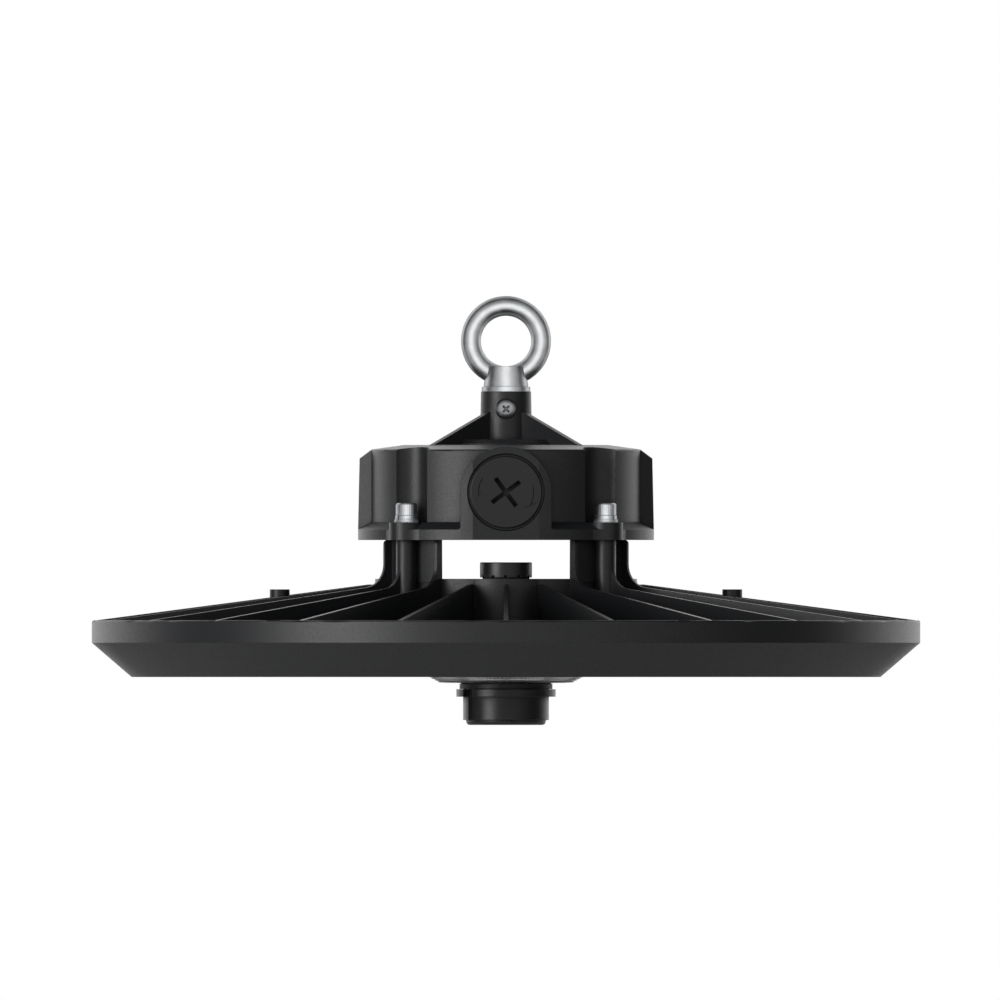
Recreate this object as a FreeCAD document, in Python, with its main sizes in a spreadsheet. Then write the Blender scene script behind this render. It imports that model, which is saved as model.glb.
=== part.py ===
import FreeCAD, Part
import Sketcher
import math
import os
import re

# High bay light: a round cast heat sink with a lens below and a driver housing on four posts above.
# It hangs from the eye bolt in the housing's stem. +Z is up, the origin is under the middle of the
# sensor cap, and the cover plug faces -Y. Lengths are in millimetres and angles in degrees.

document = FreeCAD.newDocument("high_bay_light")
sheet = document.addObject("Spreadsheet::Sheet", "Sizes")

SIZES = {
    # Clearances shared by many pieces
    "thread_clearance": 0.05,
    "running_clearance": 0.08,
    "loose_clearance": 0.3,
    # How far a cut or a root reaches past the face it starts from
    "cut_over": 1.0,
    # Sensor port: blind cap, socket and their seal
    "cap_foot_radius": 16.0,
    "cap_foot_height": 2.0,
    "cap_foot_round": 1.6,
    "cap_radius": 17.2,
    "cap_side_height": 9.3,
    "cap_floor_thickness": 2.4,
    "cap_flange_radius": 19.9,
    "cap_flange_height": 3.0,
    "cap_bore_radius": 14.2,
    "cap_flute_width": 6.0,
    "cap_flute_depth": 1.1,
    "cap_flute_angle": 219.0,
    "bayonet_groove_radius": 15.6,
    "bayonet_groove_height": 2.6,
    "bayonet_lug_height": 2.0,
    "bayonet_lug_width": 5.0,
    "bayonet_lug_reach": 1.2,
    "socket_barrel_radius": 13.7,
    "socket_barrel_drop": 9.0,
    "socket_bore_radius": 10.5,
    "socket_web_thickness": 2.5,
    "neck_radius": 18.6,
    "neck_height": 2.1,
    "port_seal_thickness": 0.5,
    "port_seal_width": 4.0,
    "port_nut_height": 4.0,
    "port_nut_radius": 17.5,
    "contact_radius": 1.1,
    "contact_circle": 5.5,
    # Lens plate, its dish, gasket and screws
    "dish_rim_radius": 30.5,
    "dish_face_radius": 26.2,
    "dish_depth": 2.2,
    "dish_wall": 1.6,
    "lens_radius": 146.1,
    "lens_thickness": 2.4,
    "lens_recess": 1.4,
    "lens_band_height": 0.9,
    "lens_band_width": 9.0,
    "gasket_thickness": 0.6,
    "seat_width": 8.0,
    "lens_screw_inset": 3.9,
    "lens_screw_count": 12,
    "small_screw_radius": 1.45,
    "small_head_radius": 2.8,
    "small_head_height": 1.6,
    "lens_screw_length": 7.0,
    # LED board and chips
    "board_inset": 11.1,
    "board_thickness": 1.6,
    "board_hole_radius": 20.0,
    "board_cavity": 3.4,
    "board_screw_inset": 16.0,
    "board_screw_count": 6,
    "board_screw_length": 4.6,
    "chip_size": 3.2,
    "chip_height": 0.8,
    "chip_ring_first": 50.0,
    "chip_ring_inset": 9.0,
    "chip_ring_count": 5,
    "chips_per_ring": 24,
    # Heat sink casting
    "disc_radius": 165.7,
    "rim_wall": 1.6,
    "lip_width": 3.7,
    "lip_round": 0.8,
    "cone_height": 13.7,
    "band_height": 9.0,
    "floor_thickness": 3.5,
    "floor_edge_inset": 8.6,
    "floor_edge_height": 5.9,
    "fin_slope": 7.5,
    "fin_count": 24,
    "fin_top_width": 1.2,
    "fin_foot_width": 2.6,
    "hub_radius": 52.4,
    "hub_rise": 1.9,
    "hub_wall": 3.0,
    "tall_fin_top_width": 1.3,
    "tall_fin_foot_width": 1.5,
    "tall_fin_root": 2.0,
    "tall_fin_sink": 0.2,
    "side_fin_setback": 0.1,
    "middle_fin_overhang": 3.8,
    "fin_sweep_radius": 9.5,
    "fin_corner_round": 1.6,
    "web_setback": 3.4,
    "web_thickness": 2.2,
    "web_half_angle": 14.6,
    "post_radius": 4.1,
    "post_thread_depth": 13.0,
    "gap_height": 15.5,
    "hub_boss_reach": 2.9,
    "hub_boss_curve": 22.0,
    "hub_boss_half_width": 12.4,
    "accessory_spacing": 181.0,
    "accessory_boss_radius": 4.0,
    "accessory_boss_rise": 2.7,
    "accessory_thread_radius": 1.65,
    "accessory_thread_depth": 8.0,
    # Breather plug on the hub
    "vent_inset": 8.4,
    "vent_cap_radius": 10.4,
    "vent_cap_edge": 0.35,
    "vent_slot_height": 0.8,
    "vent_cap_height": 6.1,
    "vent_seal_radius": 9.4,
    "vent_seal_thickness": 0.5,
    "vent_thread_radius": 5.9,
    "vent_thread_length": 6.5,
    "vent_slot_count": 12,
    # Driver housing casting
    "flange_radius": 59.2,
    "flange_height": 4.2,
    "ledge_height": 3.0,
    "ledge_width": 5.1,
    "wall_height": 29.0,
    "crown_width": 13.3,
    "crown_rise": 1.85,
    "edge_round": 0.8,
    "housing_wall": 3.6,
    "roof_drop": 2.2,
    "step_radius": 26.0,
    "step_foot": 0.6,
    "step_top_radius": 23.9,
    "step_height": 2.15,
    "stem_radius": 10.45,
    "stem_top_radius": 10.05,
    "stem_height": 19.2,
    "stem_bore_radius": 4.0,
    "stem_bore_depth": 16.0,
    "rib_thickness": 2.5,
    "rib_overhang": 1.2,
    "rib_height": 13.3,
    "pad_half_width": 18.2,
    "pad_foot_round": 1.2,
    "pad_setback": 1.5,
    "side_pad_half_width": 3.0,
    "side_pad_flank": 28.0,
    "side_pad_draft": 0.6,
    "side_pad_height": 28.4,
    "side_pad_bevel_height": 3.4,
    "screw_inset": 2.8,
    "channel_radius": 9.2,
    "channel_wall": 2.6,
    "seat_height": 7.0,
    "lug_radius": 6.9,
    "lug_blend": 10.0,
    "lug_blend_sink": 0.1,
    "corner_screw_radius": 2.5,
    "corner_hole_radius": 2.75,
    "corner_head_radius": 4.25,
    "corner_head_height": 5.0,
    "corner_screw_length": 20.0,
    "corner_socket_flats": 4.0,
    "corner_socket_depth": 2.6,
    "flat_washer_radius": 4.9,
    "flat_washer_thickness": 1.2,
    "spring_washer_radius": 4.5,
    "spring_washer_thickness": 1.6,
    "spring_washer_slit": 0.8,
    # Base plate that closes the housing
    "plate_recess_wall": 1.1,
    "plate_notch_radius": 9.7,
    "plate_thickness": 2.0,
    "plate_gasket_thickness": 0.8,
    "plate_screw_inset": 4.9,
    "plate_screw_angle": 20.0,
    "plate_screw_length": 9.0,
    "plate_boss_radius": 3.6,
    "sleeve_radius": 4.0,
    "sleeve_collar_radius": 5.6,
    "sleeve_collar_height": 1.5,
    "sleeve_end": 1.5,
    "sleeve_inset": 12.4,
    "sleeve_angle": 150.0,
    # Driver and its board
    "driver_board_room": 1.0,
    "driver_board_thickness": 1.6,
    "standoff_radius": 2.6,
    "standoff_height": 4.0,
    "standoff_inset": 7.0,
    "transformer_length": 26.0,
    "transformer_width": 22.0,
    "transformer_height": 20.0,
    "capacitor_radius": 6.3,
    "capacitor_height": 21.0,
    "capacitor_pitch": 14.5,
    "choke_radius": 8.0,
    "choke_hole_radius": 3.0,
    "choke_height": 9.0,
    "terminal_length": 22.0,
    "terminal_width": 11.0,
    "terminal_height": 12.0,
    "terminal_ways": 3,
    "part_gap": 1.0,
    "selector_board_width": 26.0,
    "selector_board_height": 22.0,
    "selector_board_thickness": 1.6,
    "selector_gap": 11.0,
    "selector_switch_width": 10.0,
    "selector_switch_height": 7.0,
    "selector_switch_depth": 4.0,
    # Cover plug over the selector switch
    "plug_height": 19.1,
    "plug_recess_radius": 15.5,
    "plug_recess_depth": 3.0,
    "plug_face_radius": 14.4,
    "plug_face_edge": 0.3,
    "plug_rim_radius": 15.2,
    "plug_rim_drop": 0.8,
    "plug_face_inset": 0.3,
    "plug_head_thickness": 2.0,
    "plug_spigot_radius": 12.1,
    "plug_spigot_length": 9.0,
    "plug_wall_step": 1.5,
    "plug_inner_face_radius": 15.2,
    "plug_lug_radius": 14.4,
    "plug_lug_width": 5.0,
    "plug_lug_thickness": 2.0,
    "plug_bore_radius": 8.0,
    "plug_cross_length": 13.8,
    "plug_cross_width": 1.7,
    "plug_cross_depth": 2.4,
    "plug_cross_angle": 36.5,
    # Cable gland at the back
    "gland_thread_radius": 7.9,
    "gland_thread_length": 9.5,
    "gland_washer_radius": 11.6,
    "gland_washer_thickness": 1.2,
    "gland_flats": 22.0,
    "gland_hex_height": 5.5,
    "gland_barrel_radius": 8.2,
    "gland_barrel_length": 7.0,
    "gland_bore_radius": 5.9,
    "gland_nut_radius": 10.8,
    "gland_nut_height": 11.5,
    "gland_nut_hex_height": 7.0,
    "gland_nut_mouth": 5.0,
    "gland_insert_bore": 3.8,
    "gland_collar_wall": 1.0,
    "gland_nut_recess": 1.0,
    "gland_dome_wall": 2.0,
    "locknut_height": 3.6,
    # Eye bolt, its washer and its locking screw
    "washer_radius": 9.7,
    "washer_hole_radius": 4.25,
    "washer_thickness": 1.9,
    "eye_ring_radius": 14.04,
    "eye_section_radius": 3.96,
    "eye_rise": 18.3,
    "eye_collar_radius": 8.96,
    "eye_collar_top_radius": 7.8,
    "eye_collar_height": 8.2,
    "eye_shank_length": 16.5,
    "lock_screw_drop": 7.0,
    "lock_screw_radius": 2.0,
    "lock_head_radius": 3.9,
    "lock_head_height": 2.4,
    "lock_seat_inset": 0.6,
    "lock_cross_length": 4.2,
    "lock_cross_width": 0.8,
    "lock_cross_depth": 1.3,
}

# Radii and distances from the axis that follow the lens, the disc, the hub or the housing's flange
OFFSETS = {
    "lip_radius": "lens_radius + lip_width",
    "lens_screw_circle": "lens_radius - lens_screw_inset",
    "board_radius": "lens_radius - board_inset",
    "board_screw_circle": "board_radius - board_screw_inset",
    "chip_ring_step": "(board_radius - chip_ring_inset - chip_ring_first) / (chip_ring_count - 1)",
    "rim_inner_radius": "disc_radius - rim_wall",
    "floor_edge_radius": "disc_radius - floor_edge_inset",
    "hub_boss_front": "hub_radius + hub_boss_reach",
    "vent_offset": "hub_radius - vent_inset",
    "sleeve_offset": "hub_radius - sleeve_inset",
    "screw_circle": "flange_radius - screw_inset",
    "web_radius": "screw_circle - web_setback",
    "side_fin_reach": "screw_circle - side_fin_setback",
    "middle_fin_reach": "screw_circle + middle_fin_overhang",
    "wall_radius": "flange_radius - ledge_width",
    "crown_radius": "wall_radius - crown_width",
    "rib_reach": "crown_radius + rib_overhang",
    "cavity_radius": "wall_radius - housing_wall",
    "plate_recess_radius": "wall_radius - plate_recess_wall",
    "plate_screw_circle": "cavity_radius - plate_screw_inset",
    "driver_board_radius": "plate_screw_circle - plate_boss_radius - driver_board_room",
    "standoff_circle": "driver_board_radius - standoff_inset",
    "pad_flat_offset": "flange_radius - pad_setback",
    "plug_seat_offset": "pad_flat_offset - plug_recess_depth",
    "plug_wall_inside": "cavity_radius - plug_wall_step",
    "selector_offset": "plug_wall_inside - selector_gap",
    "gland_seat_offset": "pad_flat_offset + gland_washer_thickness",
    "gland_barrel_offset": "gland_seat_offset + gland_hex_height",
}

# Heights above the sensor cap's underside, each stacked on the one before it
LEVELS = {
    "cap_side_level": "cap_foot_height",
    "cap_flange_level": "cap_side_level + cap_side_height",
    "cap_top_level": "cap_flange_level + cap_flange_height",
    "neck_level": "cap_top_level + running_clearance",
    "port_seal_level": "neck_level + neck_height",
    "dish_level": "port_seal_level + port_seal_thickness",
    "lip_level": "dish_level + dish_depth",
    "lens_level": "lip_level + lens_recess",
    "lens_top_level": "lens_level + lens_thickness",
    "lens_seat_level": "lens_top_level + gasket_thickness",
    "floor_level": "lens_seat_level + board_cavity",
    "board_level": "floor_level - board_thickness",
    "floor_top_level": "floor_level + floor_thickness",
    "cone_top_level": "lip_level + cone_height",
    "band_top_level": "cone_top_level + band_height",
    "fin_end_level": "band_top_level + (rim_inner_radius - hub_radius) * tan(fin_slope)",
    "hub_top_level": "fin_end_level + hub_rise",
    "housing_level": "hub_top_level + gap_height",
    "flange_top_level": "housing_level + flange_height",
    "ledge_top_level": "flange_top_level + ledge_height",
    "screw_seat_level": "housing_level + seat_height",
    "wall_top_level": "ledge_top_level + wall_height",
    "roof_level": "wall_top_level - roof_drop",
    "crown_level": "wall_top_level + crown_rise",
    "step_level": "crown_level + step_height",
    "stem_top_level": "step_level + stem_height",
    "eye_seat_level": "stem_top_level + washer_thickness",
    "eye_level": "eye_seat_level + eye_rise",
    "plate_top_level": "housing_level + plate_thickness",
    "plate_seat_level": "plate_top_level + plate_gasket_thickness",
    "driver_board_level": "plate_top_level + standoff_height",
    "driver_top_level": "driver_board_level + driver_board_thickness",
    "plug_level": "housing_level + plug_height",
    "vent_seat_level": "hub_top_level + vent_seal_thickness",
    "lock_screw_level": "stem_top_level - lock_screw_drop",
}

row_number = 0
for alias, number in SIZES.items():
    row_number += 1
    sheet.set(f"A{row_number}", alias)
    sheet.set(f"B{row_number}", str(number))
    sheet.setAlias(f"B{row_number}", alias)
for alias, formula in {**OFFSETS, **LEVELS}.items():
    row_number += 1
    sheet.set(f"A{row_number}", alias)
    sheet.set(f"B{row_number}", "=" + formula)
    sheet.setAlias(f"B{row_number}", alias)
document.recompute()

RIGHT_ANGLE = 90.0
FULL_TURN = 360.0
DIAGONAL = 45.0
CORNERS = 4


# Formulas and sketches

def value(formula):
    """The number that a formula of the sheet's names gives."""
    return float(sheet.evalExpression(formula))


def bound(formula):
    """The formula as another object writes it, with the sheet named before each of its cells."""
    return re.sub(r"[a-z]+(_[a-z]+)+", lambda name: "Sizes." + name.group(), formula)


def new_body(name):
    """An empty body whose label names its file."""
    body = document.addObject("PartDesign::Body", name)
    body.Label = name
    return body


def origin_feature(body, role):
    """One of the body's own origin planes or axes."""
    return [feature for feature in body.Origin.OriginFeatures if feature.Role == role][0]


def new_sketch(body, plane, shift=("0", "0", "0"), turn=0.0):
    """A sketch on an origin plane, moved in its own axes and turned about its upright axis."""
    sketch = body.newObject("Sketcher::SketchObject", body.Name + "_sketch")
    sketch.AttachmentSupport = [(origin_feature(body, plane), "")]
    sketch.MapMode = "FlatFace"
    start = FreeCAD.Vector(*[value(formula) for formula in shift])
    sketch.AttachmentOffset = FreeCAD.Placement(start, FreeCAD.Rotation(FreeCAD.Vector(0, 1, 0), turn))
    for axis, formula in zip("xyz", shift):
        if formula != "0":
            sketch.setExpression(f".AttachmentOffset.Base.{axis}", bound(formula))
    return sketch


def bind(sketch, constraints):
    """Adds constraints given with the formula that sets each, or with None."""
    first = sketch.ConstraintCount
    sketch.addConstraint([constraint for constraint, formula in constraints])
    for number, (constraint, formula) in enumerate(constraints):
        if formula is not None:
            sketch.setExpression(f".Constraints[{first + number}]", bound(formula))


def arc_between(start, end, radius, side):
    """Arc from start to end that bends to its left or right, no more than half a circle."""
    chord = end - start
    middle = (start + end) * 0.5
    height = math.sqrt(max(radius ** 2 - (chord.Length / 2) ** 2, 0.0))
    left = FreeCAD.Vector(-chord.y, chord.x, 0).normalize()
    centre = middle + left * (height if side == "left" else -height)
    first, last = (start, end) if side == "left" else (end, start)
    circle = Part.Circle(centre, FreeCAD.Vector(0, 0, 1), radius)
    return Part.ArcOfCircle(circle, circle.parameter(first), circle.parameter(last))


def outline(sketch, corners):
    """A closed outline through corners written as formulas.

    A corner with a radius and a side is reached by an arc that turns to that side.
    """
    points = [FreeCAD.Vector(value(corner[0]), value(corner[1]), 0) for corner in corners]
    ends = []
    constraints = []
    for number, corner in enumerate(corners):
        if len(corner) == 2:
            edge = sketch.addGeometry(Part.LineSegment(points[number - 1], points[number]), False)
            ends.append((edge, 1, 2))
        else:
            arc = arc_between(points[number - 1], points[number], value(corner[2]), corner[3])
            edge = sketch.addGeometry(arc, False)
            ends.append((edge, 1, 2) if corner[3] == "left" else (edge, 2, 1))
            radius = Sketcher.Constraint("Radius", edge, value(corner[2]))
            constraints.append((radius, corner[2]))
    for number, corner in enumerate(corners):
        edge, start, end = ends[number]
        following, following_start, following_end = ends[(number + 1) % len(corners)]
        joined = Sketcher.Constraint("Coincident", edge, end, following, following_start)
        constraints.append((joined, None))
        for kind, size, formula in zip(("DistanceX", "DistanceY"), points[number], corner):
            place = Sketcher.Constraint(kind, -1, 1, edge, end, size)
            constraints.append((place, formula))
    bind(sketch, constraints)


def circle(sketch, across, up, radius):
    """A full circle whose centre and radius are formulas."""
    centre = FreeCAD.Vector(value(across), value(up), 0)
    edge = sketch.addGeometry(Part.Circle(centre, FreeCAD.Vector(0, 0, 1), value(radius)), False)
    bind(sketch, [
        (Sketcher.Constraint("Radius", edge, value(radius)), radius),
        (Sketcher.Constraint("DistanceX", -1, 1, edge, 3, centre.x), across),
        (Sketcher.Constraint("DistanceY", -1, 1, edge, 3, centre.y), up),
    ])


def circles_around(sketch, circle_radius, count, radius, first_angle=0.0):
    """Equal circles spaced evenly about the sketch's origin."""
    for number in range(round(count)):
        across, up = around(circle_radius, first_angle + number * FULL_TURN / count)
        circle(sketch, across, up, radius)


def rectangle(sketch, left, right, low, high):
    """An upright rectangle between four formulas."""
    outline(sketch, [(left, low), (right, low), (right, high), (left, high)])


def around(radius, angle, shift=("0", "0")):
    """The corner that lies at a radius formula and an angle in degrees about a shifted centre."""
    turned = math.radians(angle)
    across = f"{shift[0]} + ({radius}) * {math.cos(turned):.9f}"
    up = f"{shift[1]} + ({radius}) * {math.sin(turned):.9f}"
    return across, up


def hexagon(sketch, flats):
    """A regular hexagon about the sketch's origin, sized across its flats."""
    corner_radius = f"({flats}) / 2 / {math.cos(math.radians(30)):.9f}"
    outline(sketch, [around(corner_radius, side * 60) for side in range(6)])


def cross(sketch, length, width, angle):
    """Two crossed bars of one outline, turned by an angle in degrees."""
    tip = f"({length}) / 2"
    half = f"({width}) / 2"
    corners = []
    for quarter in range(CORNERS):
        turned = math.radians(angle + quarter * RIGHT_ANGLE)
        cosine = math.cos(turned)
        sine = math.sin(turned)
        for along, sideways in ((tip, f"-{half}"), (tip, half), (half, half)):
            corners.append((f"({along}) * {cosine:.9f} - ({sideways}) * {sine:.9f}",
                            f"({along}) * {sine:.9f} + ({sideways}) * {cosine:.9f}"))
    outline(sketch, corners)


# Solid features

def feature_of(body, kind, sketch):
    """A feature of the body that works on a sketch."""
    feature = body.newObject("PartDesign::" + kind, f"{body.Name}_{kind.lower()}")
    feature.Profile = sketch
    feature.Refine = False
    return feature


def settle(body, feature):
    """Makes a feature the body's result and works it out."""
    body.Tip = feature
    document.recompute()
    return feature


def turn_round(body, sketch, kind="Revolution"):
    """The sketch turned a full circle about its own upright axis, added or cut away."""
    feature = feature_of(body, kind, sketch)
    feature.ReferenceAxis = (sketch, ["V_Axis"])
    feature.Angle = FULL_TURN
    return settle(body, feature)


def push(body, sketch, length, kind="Pad", both_ways=False, backwards=False):
    """The sketch pushed along its normal by a formula, added or cut away."""
    feature = feature_of(body, kind, sketch)
    feature.Length = value(length)
    feature.setExpression("Length", bound(length))
    feature.SideType = "Symmetric" if both_ways else "One side"
    feature.Reversed = backwards
    return settle(body, feature)


def ring_of(body, features, count, name="ring"):
    """The features repeated evenly about the body's upright axis."""
    pattern = body.newObject("PartDesign::PolarPattern", f"{body.Name}_{name}")
    pattern.Originals = features
    pattern.Refine = False
    pattern.Axis = (origin_feature(body, "Z_Axis"), [""])
    pattern.Angle = FULL_TURN
    pattern.Occurrences = round(value(count))
    pattern.setExpression("Occurrences", bound(count))
    return settle(body, pattern)


def place(thing, across="0", back="0", up="0", rotation=FreeCAD.Rotation()):
    """Puts a thing at formulas along X, Y and Z, turned first."""
    thing.Placement = FreeCAD.Placement(FreeCAD.Vector(value(across), value(back), value(up)), rotation)
    for axis, formula in zip("xyz", (across, back, up)):
        if formula != "0":
            thing.setExpression(f".Placement.Base.{axis}", bound(formula))


def turned_piece(name, corners, radius="0", count="1"):
    """A piece turned from one outline, or a ring of such pieces at a radius."""
    body = new_body(name)
    body.AllowCompound = True
    sketch = new_sketch(body, "XZ_Plane", (radius, "0", "0"))
    outline(sketch, corners)
    solid = turn_round(body, sketch)
    if count != "1":
        ring_of(body, [solid], count)
    return body


def ring_outline(inner, outer, low, high):
    """Outline of a plain ring or washer."""
    return [(inner, low), (outer, low), (outer, high), (inner, high)]


def cylinder(name, radius, height):
    """A plain cylinder standing on its origin."""
    solid = document.addObject("Part::Cylinder", name)
    solid.setExpression("Radius", bound(radius))
    solid.setExpression("Height", bound(height))
    return solid


def box(name, length, width, height):
    """A box centred on its origin in plan and standing on it."""
    body = new_body(name)
    sketch = new_sketch(body, "XY_Plane")
    rectangle(sketch, f"-({length}) / 2", f"({length}) / 2", f"-({width}) / 2", f"({width}) / 2")
    push(body, sketch, height)
    return body


UPRIGHT_TO_FRONT = FreeCAD.Rotation(FreeCAD.Vector(1, 0, 0), RIGHT_ANGLE)
UPRIGHT_TO_BACK = FreeCAD.Rotation(FreeCAD.Vector(1, 0, 0), -RIGHT_ANGLE)
QUARTER_DIAGONAL = FreeCAD.Rotation(FreeCAD.Vector(0, 0, 1), DIAGONAL)


# Heat sink: floor, rim, hub, 24 fins, four corner towers and their posts, all one casting

def plain_fin_level(radius):
    """Height of the sloping fin tops at a radius formula."""
    return f"band_top_level + (rim_inner_radius - ({radius})) * tan(fin_slope)"


def fin_section(body, turn, start, top_level, foot_level, top_width, foot_width):
    """Sketch across a fin, wider at its foot than its top, at a radius and a turn about the axis."""
    if turn:
        start_place = around(start, turn)
        shift = (start_place[1], "0", start_place[0])
    else:
        shift = ("0", "0", start)
    sketch = new_sketch(body, "YZ_Plane", shift, turn)
    outline(sketch, [
        (f"-({foot_width}) / 2", foot_level),
        (f"({foot_width}) / 2", foot_level),
        (f"({top_width}) / 2", top_level),
        (f"-({top_width}) / 2", top_level),
    ])
    return sketch


def trim_towers(body, reach):
    """Cuts the tower fins to their swept outer edge, down to the slope of the plain fins."""
    sweep_end = f"{reach} + fin_sweep_radius * (1 - sin(fin_slope))"
    sweep_centre_level = f"({plain_fin_level(sweep_end)}) + fin_sweep_radius * cos(fin_slope)"
    outside = "hub_radius * 2"
    sketch = new_sketch(body, "XZ_Plane")
    outline(sketch, [
        (f"{reach} - fin_corner_round", "housing_level"),
        (reach, "housing_level - fin_corner_round", "fin_corner_round", "right"),
        (reach, sweep_centre_level),
        (sweep_end, plain_fin_level(sweep_end), "fin_sweep_radius", "left"),
        (outside, plain_fin_level(outside)),
        (outside, "housing_level + cut_over"),
        (f"{reach} - fin_corner_round", "housing_level + cut_over"),
    ])
    turn_round(body, sketch, "Groove")


def make_heat_sink():
    body = new_body("heat_sink")
    shell = new_sketch(body, "XZ_Plane")
    seat_radius = "lens_radius + loose_clearance"
    hub_inside = "hub_radius - hub_wall"
    outline(shell, [
        (seat_radius, "lip_level"),
        ("lip_radius", "lip_level"),
        ("disc_radius", "cone_top_level"),
        ("disc_radius", "band_top_level - lip_round"),
        ("disc_radius - lip_round", "band_top_level", "lip_round", "left"),
        ("rim_inner_radius", "band_top_level"),
        ("rim_inner_radius", "band_top_level - floor_edge_height"),
        ("floor_edge_radius", "floor_top_level"),
        ("hub_radius", "floor_top_level"),
        ("hub_radius", "hub_top_level"),
        ("0", "hub_top_level"),
        ("0", "hub_top_level - hub_wall"),
        (hub_inside, "hub_top_level - hub_wall"),
        (hub_inside, "floor_level"),
        (f"{seat_radius} - seat_width", "floor_level"),
        (f"{seat_radius} - seat_width", "lens_seat_level"),
        (seat_radius, "lens_seat_level"),
    ])
    turn_round(body, shell)

    boss = new_sketch(body, "XY_Plane", ("0", "0", "floor_level + floor_thickness / 2"))
    boss_centre = "hub_boss_front - hub_boss_curve"
    boss_side = f"-({boss_centre}) - sqrt(hub_boss_curve ^ 2 - hub_boss_half_width ^ 2)"
    outline(boss, [
        ("-hub_boss_half_width", boss_side),
        ("hub_boss_half_width", boss_side, "hub_boss_curve", "left"),
        ("hub_boss_half_width", f"-({hub_inside}) - hub_wall / 4"),
        ("-hub_boss_half_width", f"-({hub_inside}) - hub_wall / 4"),
    ])
    push(body, boss, "hub_top_level - floor_level - floor_thickness / 2")

    web = new_sketch(body, "XY_Plane", ("0", "0", "hub_top_level - hub_wall / 2"))
    web_inside = "web_radius - web_thickness"
    low_angle = DIAGONAL - value("web_half_angle")
    high_angle = DIAGONAL + value("web_half_angle")
    outline(web, [
        around("web_radius", low_angle),
        around("web_radius", high_angle) + ("web_radius", "left"),
        around(web_inside, high_angle),
        around(web_inside, low_angle) + (web_inside, "right"),
    ])
    wall = push(body, web, "housing_level - hub_top_level + hub_wall / 2")
    ring_of(body, [wall], str(CORNERS), "webs")

    fin_start = "hub_radius - hub_wall / 2"
    fin_top = plain_fin_level("hub_boss_front")
    section = fin_section(body, 0.0, fin_start, fin_top, "floor_level + floor_thickness / 2",
                          "fin_top_width", "fin_foot_width")
    blank = push(body, section, f"rim_inner_radius + rim_wall / 2 - ({fin_start})")
    ring_of(body, [blank], "fin_count", "fins")
    slope = new_sketch(body, "XZ_Plane")
    cut_reach = "max(disc_radius; lip_radius) + rim_wall"
    outline(slope, [
        ("hub_boss_front", fin_top),
        ("rim_inner_radius", plain_fin_level("rim_inner_radius")),
        (cut_reach, "band_top_level"),
        (cut_reach, fin_top),
    ])
    outline(slope, [
        ("lip_radius", "lip_level"),
        (cut_reach, "lip_level"),
        (cut_reach, "cone_top_level"),
        ("disc_radius", "cone_top_level"),
    ])
    turn_round(body, slope, "Groove")

    tower_angle = FULL_TURN / value("fin_count")
    tower_start = "hub_radius - tall_fin_sink"
    tower_length = "fin_sweep_radius * 2"
    tower_foot = f"{plain_fin_level(f'({tower_start} + {tower_length})')} - tall_fin_root"
    blanks = []
    for side in (-1, 1):
        section = fin_section(body, DIAGONAL + side * tower_angle, tower_start, "housing_level",
                              tower_foot, "tall_fin_top_width", "tall_fin_foot_width")
        blanks.append(push(body, section, tower_length))
    ring_of(body, blanks, str(CORNERS), "side_fins")
    trim_towers(body, "side_fin_reach")
    section = fin_section(body, DIAGONAL, tower_start, "housing_level", tower_foot,
                          "tall_fin_top_width", "tall_fin_foot_width")
    blank = push(body, section, tower_length)
    ring_of(body, [blank], str(CORNERS), "middle_fins")
    trim_towers(body, "middle_fin_reach")

    # Posts and bosses come after the trims, which would cut them down
    post_foot = "floor_level + floor_thickness / 2"
    posts = new_sketch(body, "XY_Plane", ("0", "0", post_foot))
    circles_around(posts, "screw_circle", CORNERS, "post_radius", DIAGONAL)
    push(body, posts, f"housing_level - ({post_foot})")
    accessory_level = f"{plain_fin_level('accessory_spacing / 2')} + accessory_boss_rise"
    bosses = new_sketch(body, "XY_Plane", ("0", "0", post_foot))
    circles_around(bosses, "accessory_spacing / 2", 2, "accessory_boss_radius")
    push(body, bosses, f"{accessory_level} - ({post_foot})")

    # Drillings come last, because fins, webs and posts cross some of them
    top_holes = new_sketch(body, "XY_Plane", ("0", "0", "hub_top_level"))
    circle(top_holes, "0", "-vent_offset", "vent_thread_radius + thread_clearance")
    sleeve_place = around("sleeve_offset", value("sleeve_angle"))
    circle(top_holes, sleeve_place[0], sleeve_place[1], "sleeve_radius + running_clearance")
    push(body, top_holes, "vent_thread_length + cut_over", "Pocket")
    for circle_radius, count, radius, level, depth, first_angle, upward in (
            ("lens_screw_circle", value("lens_screw_count"), "small_screw_radius + thread_clearance",
             "lens_seat_level", "lens_screw_length - lens_thickness", 0.0, True),
            ("board_screw_circle", value("board_screw_count"), "small_screw_radius + thread_clearance",
             "floor_level", "board_screw_length - board_thickness + thread_clearance", 0.0, True),
            ("screw_circle", CORNERS, "corner_screw_radius + thread_clearance",
             "housing_level", "post_thread_depth", DIAGONAL, False),
            ("accessory_spacing / 2", 2, "accessory_thread_radius",
             accessory_level, "accessory_thread_depth", 0.0, False)):
        threads = new_sketch(body, "XY_Plane", ("0", "0", level))
        circles_around(threads, circle_radius, count, radius, first_angle)
        push(body, threads, depth, "Pocket", backwards=upward)
    return body


# Lens side: plate with its dish, gasket, board, chips and the screws of both

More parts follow.
